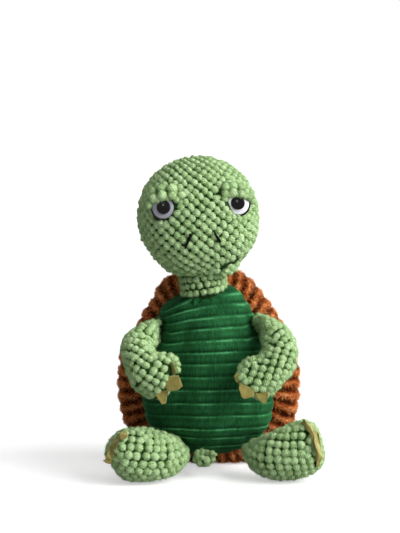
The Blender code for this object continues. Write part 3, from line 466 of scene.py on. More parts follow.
def nostril_thread():
    """Stranded cotton thread, black: matt, with the strands just catching light."""
    made, tree = cloth("black_cotton_thread", 0.0, "#ffffff")
    strands = noise(tree, 0.4 * MM, 3.0, 0.6, (1, 1, 3))
    return dress(made, noise(tree, 0.4 * MM), ((0.3, "#040504"), (0.7, "#10120c")), strands, 0.0002)


def eye_plastic(name, low, high, roughness):
    """Moulded, polished plastic: even colour, a small highlight and the finest moulding ripple."""
    made, tree = finish(name, Roughness=roughness, Specular_IOR_Level=0.16)
    ripple = noise(tree, 3 * MM, 1.0)
    return dress(made, noise(tree, 6 * MM), ((0.3, low), (0.7, high)), ripple, 0.00002, 0.3)


def washer_plastic():
    """Natural polypropylene, moulded: milky and half matt."""
    made, tree = finish("natural_polypropylene", Roughness=0.45, IOR=1.49)
    return dress(made, noise(tree, 5 * MM), ((0.3, "#cfcfc8"), (0.7, "#dededa")))


YARN = bobble_yarn()
# The knit's ground is painted dark: painted shade in the holes between the bobbles
PAINTED_SHADE_GROUND = painted_shade_ground()
VELOUR = belly_velour()
PILE = shell_pile()
FELT = claw_felt()
THREAD = nostril_thread()
# The white of the right eye is the same plastic painted grey: painted shade
EYE_WHITES = {
    "left": eye_plastic("white_eye_plastic", "#e6e5ec", "#f0eff4", 0.2),
    "right": eye_plastic("painted_shade_eye_plastic", "#acacb9", "#b6b6c2", 0.2),
}
EYE_BLACK = eye_plastic("black_eye_plastic", "#060506", "#0c0b0c", 0.09)
WASHER = washer_plastic()


def new_piece(name, mesh, *materials):
    """A smooth object of a mesh, at the origin."""
    for material in materials:
        mesh.materials.append(material)
    mesh.shade_smooth()
    piece = bpy.data.objects.new(name, mesh)
    bpy.context.scene.collection.objects.link(piece)
    return piece


def declare(piece, body, nodes=()):
    """Say which body a piece rides on, and hide the nodes that it stands for."""
    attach(piece, body)
    if nodes:
        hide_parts(*nodes)


def settled(piece):
    """The piece's evaluated shape as its own plain mesh, with its modifiers gone."""
    shapes = bpy.context.evaluated_depsgraph_get()
    mesh = bpy.data.meshes.new_from_object(piece.evaluated_get(shapes))
    piece.modifiers.clear()
    piece.data = mesh
    return piece


def one_skin(piece, material, voxel, rounds, sink=0.0):
    """Give a piece one even skin, eased and drawn in by sink, in its material."""
    remesh = piece.modifiers.new("one_skin", "REMESH")
    remesh.mode = "VOXEL"
    remesh.voxel_size = voxel
    remesh.use_smooth_shade = True
    piece.modifiers.new("ease", "SMOOTH").iterations = rounds
    draw = piece.modifiers.new("draw_in", "DISPLACE")
    draw.mid_level = 0
    draw.strength = -sink
    settled(piece)
    piece.data.materials.clear()
    piece.data.materials.append(material)
    return piece


def soft_form(name, nodes, sink, voxel=0.0018, rounds=14):
    """The rounded stuffed form of some CAD nodes, drawn in by sink."""
    made = bmesh.new()
    for node in nodes:
        made.from_mesh(NODES[node].data)
    bmesh.ops.remove_doubles(made, verts=made.verts, dist=0.00001)
    mesh = bpy.data.meshes.new(name)
    made.to_mesh(mesh)
    made.free()
    return one_skin(new_piece(name, mesh), PAINTED_SHADE_GROUND, voxel, rounds, sink)


def mesh_of(made, name):
    """What was built as a mesh whose faces point out."""
    bmesh.ops.recalc_face_normals(made, faces=made.faces)
    mesh = bpy.data.meshes.new(name)
    made.to_mesh(mesh)
    made.free()
    return mesh


def ring_mesh(name, rows, poles=(None, None), rise=()):
    """A mesh through closed rings of points, its ends drawn to poles or closed flat."""
    made = bmesh.new()
    store = made.verts.layers.float.new("rise") if rise else None
    rings = [[made.verts.new(point) for point in row] for row in rows]
    for ring, painted_lights in zip(rings, rise):
        for vert, lift in zip(ring, painted_lights):
            vert[store] = lift
    for lower, upper in zip(rings, rings[1:]):
        for here in range(len(lower)):
            after = (here + 1) % len(lower)
            made.faces.new((lower[here], lower[after], upper[after], upper[here]))
    for ring, pole in zip((rings[0], rings[-1]), poles):
        if pole is None:
            made.faces.new(ring)
        else:
            top = made.verts.new(pole)
            for here in range(len(ring)):
                made.faces.new((ring[here], ring[(here + 1) % len(ring)], top))
    return mesh_of(made, name)


def surface_of(piece):
    """A piece's faces, ready to be met by rays."""
    return BVHTree.FromPolygons(
        [v.co for v in piece.data.vertices], [tuple(p.vertices) for p in piece.data.polygons]
    )


def cast(surface, start, way, reach=0.2):
    """Where a ray from inside meets a surface, and the outward normal there, leaned to the ray."""
    place, normal, _, _ = surface.ray_cast(start, way, reach)
    if place is None:
        return None, None
    if normal.dot(way) < 0:
        normal = -normal
    return place, (normal + 0.5 * way.normalized()).normalized()


def sight(across, down):
    """The way from the camera through a pixel of the photograph."""
    right, low = across - PHOTO_MIDDLE[0], PHOTO_MIDDLE[1] - down
    return (CAMERA_WAY + RIGHT * right * PIXEL_SHARE + CAMERA_UP * low * PIXEL_SHARE).normalized()


def seen_at(surface, across, down):
    """The place on a surface that shows at a pixel of the photograph, and its normal."""
    place, normal, _, _ = surface.ray_cast(CAMERA_PLACE, sight(across, down), 3.0)
    return place, normal


def at_depth(across, down, depth):
    """The place that shows at a pixel of the photograph and whose y is depth, in mm."""
    ray = sight(across, down)
    return CAMERA_PLACE + ray * ((depth * MM - CAMERA_PLACE.y) / ray.y)


def far_to(ray, spot, axis):
    """How far along a line of sight the plane lies that holds a spot and is square to axis."""
    return (spot - CAMERA_PLACE).dot(axis) / ray.dot(axis)


def about(first, second, turn):
    """The way at a turn from first towards second."""
    return math.cos(turn) * first + math.sin(turn) * second


def clear_of(place, spots):
    """The least distance from a place to some spots."""
    return min((place - spot).length for spot in spots)


def shape_tree(name, **labels):
    """A node tree from a shape and some named inputs to a shape, and what it is given."""
    tree = bpy.data.node_groups.new(name, "GeometryNodeTree")
    face = tree.interface
    kinds = {float: "NodeSocketFloat", int: "NodeSocketInt", type(None): "NodeSocketMaterial"}
    face.new_socket("Geometry", in_out="INPUT", socket_type="NodeSocketGeometry")
    for label, value in labels.items():
        socket = face.new_socket(label.replace("_", " "), in_out="INPUT", socket_type=kinds[type(value)])
        if value is not None:
            socket.default_value = value
    face.new_socket("Geometry", in_out="OUTPUT", socket_type="NodeSocketGeometry")
    return tree, add(tree, "NodeGroupInput").outputs


def fibres(tree, given, ground, lean, chosen=True, scale=(1.0, 1.0, 1.0)):
    """Thin spikes that stand all over a surface and lean every way, each with its height as tip."""
    height = add(tree, "ShaderNodeSeparateXYZ", {0: add(tree, "GeometryNodeInputPosition")}).outputs["Z"]
    # A real fibre is too fine to show, so each spike is as thick as a few of them together
    spike = add(tree, "GeometryNodeMeshCone", {
        "Vertices": 3, "Radius Top": 0.0, "Radius Bottom": given["Width"], "Depth": given["Length"],
    }, fill_type="NONE")
    spike = add(tree, "GeometryNodeStoreNamedAttribute", {
        "Geometry": spike, "Name": "tip",
        "Value": add(tree, "ShaderNodeMath", {0: height, 1: given["Length"]}, operation="DIVIDE"),
    }, data_type="FLOAT", domain="POINT")
    spots = add(tree, "GeometryNodeDistributePointsOnFaces", {
        "Mesh": ground, "Selection": chosen, "Density": given["Density"], "Seed": given["Seed"],
    })
    tilt = add(tree, "FunctionNodeRandomValue", {
        0: (-lean, -lean, 0.0), 1: (lean, lean, 6.28), "Seed": given["Seed"],
    }, data_type="FLOAT_VECTOR")
    turn = add(tree, "FunctionNodeRotateRotation", {
        0: spots.outputs["Rotation"], 1: tilt,
    }, rotation_space="LOCAL")
    stood = add(tree, "GeometryNodeInstanceOnPoints", {
        "Points": spots, "Instance": spike, "Rotation": turn, "Scale": scale,
    })
    return add(tree, "GeometryNodeRealizeInstances", {"Geometry": stood})


def close_tree(tree, shape, material):
    """Press whatever would reach below the floor up against it, and paint the shape."""
    here = add(tree, "ShaderNodeSeparateXYZ", {0: add(tree, "GeometryNodeInputPosition")}).outputs
    high = add(tree, "ShaderNodeMath", {0: here["Z"], 1: FLOOR_CLEAR}, operation="MAXIMUM")
    spot = add(tree, "ShaderNodeCombineXYZ", {"X": here["X"], "Y": here["Y"], "Z": high})
    pressed = add(tree, "GeometryNodeSetPosition", {"Geometry": shape, "Position": spot})
    painted = add(tree, "GeometryNodeSetMaterial", {"Geometry": pressed, "Material": material})
    add(tree, "NodeGroupOutput", {0: painted})
    return tree


def bobble_tree():
    """Bobbles set on points: lumpy balls with a down of short fibres on their crowns."""
    tree, given = shape_tree(
        "bobbles", Lump_Depth=0.0012, Lump_Size=0.0026, Density=700000.0, Length=0.0017, Width=0.00013,
        Seed=7, Yarn=None,
    )
    place = add(tree, "GeometryNodeInputPosition")
    spot = add(tree, "ShaderNodeSeparateXYZ", {0: place}).outputs
    across = add(tree, "ShaderNodeMath", {0: spot["X"], 1: 0.8, 2: spot["Y"]}, operation="MULTIPLY_ADD")
    ball = add(tree, "GeometryNodeMeshUVSphere", {"Segments": 9, "Rings": 7, "Radius": 0.5})
    # Each ball's height is kept as rise: the yarn paints shade by it, and the down grows where it is high
    for name, value in (("rise", spot["Z"]), ("strand", across)):
        ball = add(tree, "GeometryNodeStoreNamedAttribute", {
            "Geometry": ball, "Name": name, "Value": value,
        }, data_type="FLOAT", domain="POINT")
    up_way, row_way, size = (
        add(tree, "GeometryNodeInputNamedAttribute", {"Name": name}, data_type="FLOAT_VECTOR")
        for name in ("up_way", "row_way", "size")
    )
    rise = add(tree, "GeometryNodeInputNamedAttribute", {"Name": "rise"}, data_type="FLOAT")
    turn = add(tree, "FunctionNodeAxesToRotation", {
        "Primary Axis": up_way, "Secondary Axis": row_way,
    }, primary_axis="Z", secondary_axis="X")
    placed = add(tree, "GeometryNodeInstanceOnPoints", {
        "Points": given["Geometry"], "Instance": ball, "Rotation": turn, "Scale": size,
    })
    whole = add(tree, "GeometryNodeRealizeInstances", {"Geometry": placed})
    scale = add(tree, "ShaderNodeMath", {0: 1.0, 1: given["Lump Size"]}, operation="DIVIDE")
    lumps = add(tree, "ShaderNodeTexNoise", {"Vector": place, "Detail": 1.0, "Scale": scale})
    lift = add(tree, "ShaderNodeMath", {0: lumps, 1: 2.0, 2: -1.0}, operation="MULTIPLY_ADD")
    depth = add(tree, "ShaderNodeMath", {0: lift, 1: given["Lump Depth"]}, operation="MULTIPLY")
    move = add(tree, "ShaderNodeVectorMath", {
        0: add(tree, "GeometryNodeInputNormal"), "Scale": depth,
    }, operation="SCALE")
    lumpy = add(tree, "GeometryNodeSetPosition", {"Geometry": whole, "Offset": move})
    smooth = add(tree, "GeometryNodeSetShadeSmooth", {"Geometry": lumpy})
    crowns = add(tree, "FunctionNodeCompare", {0: rise, 1: 0.02}, operation="GREATER_THAN")
    both = add(tree, "GeometryNodeJoinGeometry", {0: fibres(tree, given, smooth, 0.9, crowns)})
    tree.links.new(smooth.outputs[0], both.inputs[0])
    return close_tree(tree, both, given["Yarn"])


def pile_tree():
    """Cut pile: short tufts of uneven height that stand on a surface."""
    tree, given = shape_tree("pile", Density=860000.0, Length=0.0034, Width=0.00038, Seed=3, Pile=None)
    grow = add(tree, "FunctionNodeRandomValue", {
        2: 0.5, 3: 1.15, "Seed": add(tree, "FunctionNodeInputInt"),
    }, data_type="FLOAT").outputs[1]
    return close_tree(tree, fibres(tree, given, given["Geometry"], 0.6, scale=grow), given["Pile"])


def worked(piece, tree, **wanted):
    """The piece made by a node tree with some of its inputs set, as a plain mesh."""
    step = piece.modifiers.new(tree.name, "NODES")
    step.node_group = tree
    for item in tree.interface.items_tree:
        if item.in_out == "INPUT" and item.name in wanted:
            step[item.identifier] = wanted[item.name]
    return settled(piece)


BOBBLES = bobble_tree()
PILES = pile_tree()
# Both kinds of chance start from a fixed seed, so every run sets the same bobbles
CHANCE = np.random.default_rng(11)
turbulence.seed_set(4)


class Knit:
    """The bobbles of one body: their places, ways and sizes, gathered before they are made."""

    def __init__(self, pitch):
        self.pitch = pitch
        self.rows = []
        self.spots = []

    def away(self, place):
        """The squared distances from a place to the bobbles so far."""
        return ((np.array(self.spots) - place[:]) ** 2).sum(1)

    def gap(self, place):
        """The distance from a place to the nearest bobble so far."""
        return float(np.sqrt(self.away(place).min())) if self.spots else 1.0

    def set(self, place, up, row, size, sink=BOBBLE_SINK, crowd=0.55, loose=0.0015):
        """One bobble on the cloth, unless it would crowd another: its width lies along the row."""
        if self.gap(place) < self.pitch * crowd:
            return
        self.spots.append(place[:])
        up = up.normalized()
        row = (row - up * row.dot(up)).normalized()
        drift = turbulence.noise_vector(place * DRIFT_SCALE) * loose
        place = place + drift - up * drift.dot(up) - up * sink
        up = (up + BOBBLE_LEAN * Vector(CHANCE.random(3) - 0.5)).normalized()
        jitter = 1 + BOBBLE_JITTER * (CHANCE.random(3) - 0.5)
        self.rows.append((place, up, row, [s * j for s, j in zip(size, jitter)], CHANCE.random() - 0.5))

    def lone(self, place, pixel, wide, row=RIGHT):
        """A round bobble by itself, wide in mm, that faces the camera where the photograph shows it."""
        self.set(place, -sight(*pixel), row, (wide * MM,) * 3, 0.0, 0.2, 0.0)

    def mend(self, piece, size, covered, bare=lambda spot: BARE):
        """Set a bobble wherever the cloth would show bare between the rows."""
        for v in piece.data.vertices:
            if self.gap(v.co) > self.pitch * bare(v.co) and not covered(v.co):
                near = np.argmin(self.away(v.co))
                self.set(v.co.copy(), v.normal.copy(), self.rows[near][2], size, 1.5 * BOBBLE_SINK)

    def made(self, name, seed, **values):
        """The piece with all its bobbles."""
        places, up_ways, row_ways, sizes, tones = zip(*self.rows)
        mesh = bpy.data.meshes.new(name)
        mesh.from_pydata(places, [], [])
        for label, ways in (("up_way", up_ways), ("row_way", row_ways), ("size", sizes)):
            store = mesh.attributes.new(label, "FLOAT_VECTOR", "POINT")
            store.data.foreach_set("vector", np.array(ways, float).ravel())
        mesh.attributes.new("tone", "FLOAT", "POINT").data.foreach_set("value", tones)
        return worked(new_piece(name, mesh), BOBBLES, Seed=seed, Yarn=YARN, **values)


def flat_way(turn):
    """The way at a turn on a flat cloth."""
    return np.array([math.cos(turn), math.sin(turn)])


def head_way(across, up, side):
    """The direction from the head's middle to a spot of the flat cloth laid over its face."""
    far = math.hypot(across, up)
    if far < 1e-9:
        return BACK * side
    bend = far / (HEAD_WRAP * HEAD_RADIUS)
    if bend >= 1:
        return None
    return about(BACK * side, Vector((across / far, 0, up / far)), HEAD_WRAP * math.asin(bend))


def head_lattice(surface):
    """Places, normals, row ways and sizes of the bobbles over both halves of the head."""
    along, between = HEAD_PITCH
    row, turned = flat_way(HEAD_ROW_SLOPE), flat_way(HEAD_BOBBLE_TURN)
    rise, across = np.array([-row[1], row[0]]), np.array([-turned[1], turned[0]])
    for side, edge in HEAD_EDGES:
        for down in range(-HEAD_ROWS, HEAD_ROWS + 1):
            for step in range(-HEAD_ROWS, HEAD_ROWS + 1):
                flat = row * along * step + rise * between * down
                way = head_way(*flat, side)
                if way is None or way.y * side < math.cos(edge):
                    continue
                place, normal = cast(surface, HEAD_MIDDLE, way)
                near, above = (head_way(*(flat + beside * MM), side) for beside in (turned, across))
                if place is None or near is None or above is None:
                    continue
                here = (place - HEAD_MIDDLE).length
                width = (near - way).length * here / MM * HEAD_BOBBLE[0]
                length = (above - way).length * here / MM * HEAD_BOBBLE[1]
                yield place, normal, (near - way) * -side, width, length


def front_way(way, face):
    """The way out of a limb's front or back, square to the way that the limb runs."""
    return (BACK * -face + way * (way.y * face)).normalized()


def flat_line(shape, surface, face):
    """One face of a limb laid flat: its middle line at the cloth's length, with centres and ways."""
    line = [Vector(point) for point in shape["line"]]
    lengths = [0.0]
    for here, after in zip(line, line[1:]):
        lengths.append(lengths[-1] + (after - here).length)
    root_way = (line[1] - line[0]).normalized()
    end_way = Vector(shape["end_way"]).normalized()
    ways = [root_way.slerp(end_way, far / lengths[-1]) for far in lengths]
    spots = [cast(surface, centre, front_way(way, face), LIMB_REACH)[0] for centre, way in zip(line, ways)]
    flat = [np.zeros(2)]
    for here, after, low, high in zip(line, line[1:], spots, spots[1:]):
        heading = np.array([after.x - here.x, after.z - here.z])
        flat.append(flat[-1] + heading / np.linalg.norm(heading) * (high - low).length)
    return line, flat, ways


def nearest_on(flat, point):
    """The place along a flat line nearest to a point: segment, share of it, and side distance."""
    best = None
    for segment, (start, end) in enumerate(zip(flat, flat[1:])):
        step = end - start
        share = float(np.dot(point - start, step) / np.dot(step, step))
        share = min(1.0, max(0 if segment else -9, share))
        gap = point - start - step * share
        far = float(np.linalg.norm(gap))
        if best is None or far < best[0]:
            best = (far, segment, share, math.copysign(far, step[0] * gap[1] - step[1] * gap[0]))
    return best[1:]


def cloth_spots(shape, flat):
    """Lattice places of the flat cloth over one face of a limb, by segment, share and side distance."""
    a, b = (pitch * flat_way(math.radians(turn)) for turn, pitch in shape["cloth"])
    end_way = (flat[-1] - flat[-2]) / np.linalg.norm(flat[-1] - flat[-2])
    start = flat[-1] - end_way * shape["clear"]
    for i in range(-30, 31):
        for j in range(-30, 31):
            point = start + i * a + j * b
            past = float(np.dot(point - start, end_way))
            if 0 < past < shape["clear"] * STRIP_SHARE:
                point = point - end_way * past
            segment, share, side = nearest_on(flat, point)
            if segment < len(flat) - 2 or share < 1.0:
                yield segment, share, side


def wrapped_spots(shape, surface, face):
    """Places, normals and row ways of the cloth wrapped over one face of a limb and its ball."""
    line, flat, ways = flat_line(shape, surface, face)
    for segment, share, side in cloth_spots(shape, flat):
        held = max(0.0, share)
        centre = line[segment].lerp(line[segment + 1], held)
        way = ways[segment].slerp(ways[segment + 1], held)
        back = max(0.0, -share) * float(np.linalg.norm(flat[1] - flat[0])) / shape["ball"]
        front = front_way(way, face)
        across = (front * face).cross(way)
        probe, _ = cast(surface, centre, front, LIMB_REACH)
        if probe is None or back > BALL_TURN:
            continue
        turn = side / (probe - centre).length
        if abs(turn) > FACE_TURN:
            continue
        out = about(front, across, turn)
        place, normal = cast(surface, centre, about(out, -way, back).normalized(), LIMB_REACH)
        if place is not None:
            yield place, normal, way.cross(out)


def knit_tube(name, shape, ground, surface, seed):
    """The bobbles of a limb: cloth wrapped over its front and its back, and rings on its end cap."""
    pitch = shape["cloth"][0][1]
    knit = Knit(pitch)
    size = (BOBBLE_SWELL * pitch, BOBBLE_SWELL * pitch, BOBBLE_THICK)
    for face in (1, -1):
        for place, normal, row in wrapped_spots(shape, surface, face):
            knit.set(place, normal, row, size)
    cap_rings(knit, shape, surface)
    for across, down, depth, wide in shape["extra"]:
        place = seen_at(surface, across, down)[0] if depth is None else at_depth(across, down, depth)
        knit.lone(place, (across, down), wide)
    root, after, seam = (Vector(shape["line"][spot]) for spot in (0, 1, -1))
    root_way, end_way = (after - root).normalized(), Vector(shape["end_way"]).normalized()

    def covered(spot):
        at_seam = abs((spot - seam).dot(end_way)) < shape["clear"] * STRIP_SHARE
        near_end = (spot - seam).length < shape["end"] + 0.006
        return (at_seam and near_end) or (spot - root).dot(root_way) < -BALL_MENDED * shape["ball"]

    knit.mend(ground, size, covered)
    return knit.made(name, seed)


def cap_rings(knit, shape, surface):
    """Rings of bobbles over the cap that closes a limb."""
    seam = Vector(shape["line"][-1])
    way = Vector(shape["end_way"]).normalized()
    steps = max(1, round((shape["end"] + shape["cap"] / 3) / RING_PITCH))
    for step in range(steps):
        share = 1 - (step + 0.5) / steps
        tilt = math.atan2(shape["cap"] * math.sqrt(max(0.0, 1 - share * share)), shape["end"] * share)
        count = max(1, round(shape["end_count"] * share))
        ring_of_bobbles(knit, surface, seam, way, UP, count, 0.5 * step, RING_PITCH, tilt)


def ring_of_bobbles(
        knit, surface, centre, way, lean, count, shift, length, tilt=0.0, swell=BOBBLE_SWELL, **ways):
    """A ring of bobbles about a centre, looking out square to way or tilted along it."""
    first = (lean - way * lean.dot(way)).normalized()
    for step in range(count):
        out = about(first, way.cross(first), 2 * math.pi * (step + shift) / count)
        place, normal = cast(surface, centre, about(out, way, tilt).normalized(), LIMB_REACH)
        if place is None:
            continue
        width = max(2 * math.pi * (place - centre).dot(out) / count, length * 0.8)
        knit.set(place, normal, way.cross(out), (width * swell, length * swell, BOBBLE_THICK), **ways)


def eased(places, bumps):
    """Places moved softly, as the photograph shows: each bump is across, down, reach, and its move."""
    places = np.array(places)
    away = places - CAMERA_PLACE[:]
    share = PIXEL_SHARE * (away @ np.array(CAMERA_WAY))
    seen = np.stack([
        PHOTO_MIDDLE[0] + away[:, 0] / share, PHOTO_MIDDLE[1] - (away @ np.array(CAMERA_UP)) / share,
    ], 1)
    for across, down, reach, right, low in bumps:
        pull = np.exp(-(((seen - (across, down)) / reach) ** 2).sum(1))[:, None]
        places += pull * np.array([right, 0, -low]) * METRES_PER_PIXEL
    return places


def ease(ground, bumps):
    """Ease a form's points to the outline."""
    for v, place in zip(ground.data.vertices, eased([v.co[:] for v in ground.data.vertices], bumps)):
        v.co = place


def tuck(ground, limit, side, low):
    """Draw the inner side of a shoulder back into the seam beside the belly, above a height."""
    for v in ground.data.vertices:
        inner = (limit - v.co.x) * side
        share = min(1.0, max(0.0, (v.co.z - low) / TUCK_BLEND))
        if inner > 0 and share > 0:
            v.co.y += share * min(TUCK_SLOPE * inner, TUCK_MOST)
            v.co.x += side * share * TUCK_IN * inner


def dressed_limb(name, nodes, shape, seed):
    """One limb: its dark knit ground and its bobbles, both on the limb's body."""
    ground = soft_form(name + "_knit_ground", nodes, 0.0016)
    if "tuck" in shape:
        tuck(ground, *shape["tuck"])
    ease(ground, shape["ease"])
    shape = dict(shape, line=[tuple(place) for place in eased(shape["line"], shape["ease"])])
    surface = surface_of(ground)
    bobbles = knit_tube(name + "_bobbles", shape, ground, surface, seed)
    declare(ground, name, nodes)
    declare(bobbles, name)
    return surface


def set_brows(knit, surface, eyes):
    """The bobbles over the eyes, the large ones with another behind them that ties them to the head."""
    for side, eye in zip(SIDES, eyes):
        axis = Vector(EYES[side][1]).normalized()
        for across, down, wide, lift in BROWS[side]:
            ray = sight(across, down)
            far = far_to(ray, eye + axis * (lift * MM + BROW_LIFT), axis)
            knit.lone(CAMERA_PLACE + ray * far, (across, down), wide, BROW_ROW)
            if wide > BROW_BACKED:
                behind = (seen_at(surface, across, down - BROW_RISE)[0] - CAMERA_PLACE).length
                far = (1 - BROW_DEPTH) * far + BROW_DEPTH * behind
                place = CAMERA_PLACE + sight(across, down - BROW_RISE) * far
                knit.lone(place, (across, down), wide, BROW_ROW)


def set_rows(knit, surface, eyes, fold):
    """The slanting rows of the head, crowded out to a ring round each eye and open at the jaw's fold."""
    for place, normal, row, width, length in head_lattice(surface):
        eye, surround = min(zip(eyes, EYE_SURROUND), key=lambda pair: (place - pair[0]).length)
        far = (place - eye).length
        if far < surround * EYE_BARE:
            continue
        if far < surround:
            place, normal = cast(surface, HEAD_MIDDLE, eye + (place - eye) * (surround / far) - HEAD_MIDDLE)
        if clear_of(place, fold) > FOLD_HALF:
            edge = max(0.0, 1 - abs(place.y - HEAD_MIDDLE.y) / SEAM_REACH)
            shrink = 1 - SEAM_SHRINK * edge
            size = (width * shrink, length * shrink, BOBBLE_THICK)
            knit.set(place, normal, row, size, BOBBLE_SINK - SEAM_RISE * edge)


def ring_of_eye(knit, surface, eye, axis, surround, steps=36):
    """Bobbles wherever the cloth shows bare round an eye."""
    across = UP.cross(axis).normalized()
    for step in range(steps):
        out = about(across, axis.cross(across), 2 * math.pi * step / steps)
        place, normal = cast(surface, HEAD_MIDDLE, eye + surround * 1.02 * out - HEAD_MIDDLE)
        knit.set(place, normal, across, (HEAD_BOBBLE[0] * 0.92,) * 2 + (BOBBLE_THICK,), crowd=0.60)


def jaw_fold(surface, steps=25):
    """Places along the fold of the jaw."""
    across, down = zip(*JAW_FOLD)
    run = np.linspace(across[0], across[-1], steps)
    hits = [seen_at(surface, x, float(np.interp(x, across, down)))[0] for x in run]
    return [hit for hit in hits if hit is not None]


def build_head():
    """The head with its rows, brows and cheek, its nostrils and its eyes."""
    nodes = ["face_panel", "head_back_panel", "head_stuffing"]
    ground = soft_form("head_knit_ground", nodes, 0.0018, 0.0022)
    for v in ground.data.vertices:
        share = float(np.interp(v.co.z, *zip(*CHIN)))
        v.co.x = HEAD_MIDDLE.x + (v.co.x - HEAD_MIDDLE.x) * share
        v.co.y = HEAD_MIDDLE.y + (v.co.y - HEAD_MIDDLE.y) * (0.4 + 0.6 * share)
    surface = surface_of(ground)
    eyes = [seen_at(surface, *EYES[side][0])[0] for side in SIDES]
    fold = jaw_fold(surface)
    knit = Knit(HEAD_PITCH[0])
    set_brows(knit, surface, eyes)
    for across, down, depth, wide in CHEEK:
        knit.lone(at_depth(across, down, depth), (across, down), wide)
    set_rows(knit, surface, eyes, fold)
    for side, eye, surround in zip(SIDES, eyes, EYE_SURROUND):
        ring_of_eye(knit, surface, eye, Vector(EYES[side][1]).normalized(), surround)

    def covered(spot):
        middle, radius, top = NECK_HOLE
        at_neck = spot.z < top and math.hypot(spot.x - middle, spot.y) < radius
        return clear_of(spot, eyes) < min(EYE_SURROUND) or clear_of(spot, fold) < FOLD_HALF or at_neck

    def bare(spot):
        front, back, pitches = SEAM_BARE
        return pitches if front < spot.y - HEAD_MIDDLE.y < back else BARE

    knit.mend(ground, (HEAD_BOBBLE[0] * 0.88, HEAD_BOBBLE[1] * 0.78, BOBBLE_THICK), covered, bare)
    declare(ground, "head", nodes)
    declare(knit.made("head_bobbles", 3, Density=450000.0), "head")
    build_nostrils(surface)
    build_eyes(surface)


def build_nostrils(surface):
    """Two tapered stitches of stranded thread, laid in the dark rows between the bobbles."""
    for side, stitch in NOSTRILS.items():
        points = []
        for across, down, radius in stitch:
            place, normal = seen_at(surface, across, down)
            points.append((place + normal * NOSTRIL_RISE, radius * MM))
        piece = thread_piece(f"nostril_thread_{side}", points)
        declare(piece, "head", [f"nostril_stitch_{side}"])


def thread_piece(name, points, sides=8, steps=6):
    """A closed thread of three strands through points, each with its own radius."""
    spots = []
    for step in range((len(points) - 1) * steps + 1):
        low = min(step // steps, len(points) - 2)
        share = step / steps - low
        (here, thin), (after, thick) = points[low:low + 2]
        spots.append((here.lerp(after, share), thin * (1 - share) + thick * share))
    rings = []
    for place, (centre, radius) in enumerate(spots):
        way = (spots[min(len(spots) - 1, place + 1)][0] - spots[max(0, place - 1)][0]).normalized()
        first = way.orthogonal().normalized()
        twist = place * 0.35
        ring = []
        for side in range(sides):
            turn = 2 * math.pi * side / sides + twist
            swell = radius * (1 + 0.12 * math.cos(3 * (turn - twist * 2)))
            ring.append(centre + swell * about(first, way.cross(first), turn))
        rings.append(ring)
    return new_piece(name, ring_mesh(name, rings), THREAD)


def build_neck():
    """The neck: rings of small bobbles on a tube that is drawn in at its foot."""
    nodes = ["neck_sleeve", "neck_stuffing"]
    ground = soft_form("neck_knit_ground", nodes, 0.0014)
    surface = surface_of(ground)

    def below(spot):
        return (spot - NECK_FOOT).dot(NECK_TILT) < MM

    for v in ground.data.vertices:
        if below(v.co):
            v.co.x += (NECK_FOOT.x - v.co.x) * NECK_IN[0]
            v.co.y += (NECK_FOOT.y - v.co.y) * NECK_IN[1]
    knit = Knit(NECK_PITCH)
    count = round((NECK_HEAD - NECK_FOOT).length / NECK_PITCH)
    for step in range(count):
        ring_of_bobbles(
            knit, surface, NECK_FOOT.lerp(NECK_HEAD, (step + 0.5) / count), NECK_TILT, BACK, NECK_AROUND,
            0.5 * step, NECK_PITCH, swell=NECK_SWELL, loose=NECK_LOOSE,
        )
    size = (NECK_PITCH * NECK_SWELL,) * 2 + (BOBBLE_THICK,)
    knit.mend(ground, size, lambda spot: spot.z > NECK_TOP or below(spot))
    declare(ground, "neck", nodes)
    declare(knit.made("neck_bobbles", 5), "neck")


def rib_profile(height):
    """How deep the cloth lies at a height on the middle line, and its painted light there: a highlight on
    the lip, shade down the rib and in the groove.
    """
    near = min((height - groove for groove in BELLY_GROOVES), key=abs)
    deep = math.exp(-((near / GROOVE_HALF) ** 2))
    lip = math.exp(-(((near + LIP_DROP) / LIP_HALF) ** 2))
    above = near / RIB_HALF if near > 0 else 1 + near / RIB_HALF
    return deep, 1.1 * lip + 0.35 * above - 0.45 * deep


def closed_ring(radii, reach=13):
    """The distances round a ring with its narrow dents filled."""
    for pick in (np.max, np.min):
        radii = pick([np.roll(radii, step) for step in range(-reach, reach + 1)], axis=0)
    return radii


def belly_ring(surface, ways, height):
    """How far the trunk's form reaches each way on a rib, and at which height the rib passes there."""
    arch = float(np.interp(height, *zip(*BELLY_ARCH)))
    middle = float(np.interp(height, *zip(*BELLY_MIDDLE)))
    radii, levels = [], []
    for way in ways:
        level, radius = height, BELLY_LEAST
        for _ in range(3):
            axis = Vector((*BELLY_AXIS, level))
            place = surface.ray_cast(axis + way * BELLY_OUT, -way, BELLY_OUT)[0]
            if place is None:
                break
            radius = (place - axis).length
            side = min(abs(place.x - middle), BELLY_HALF)
            level = max(BELLY_LEVELS[0], min(BELLY_LEVELS[1], height - arch * side * side))
        radii.append(radius)
        levels.append(level)
    return np.array(radii), levels


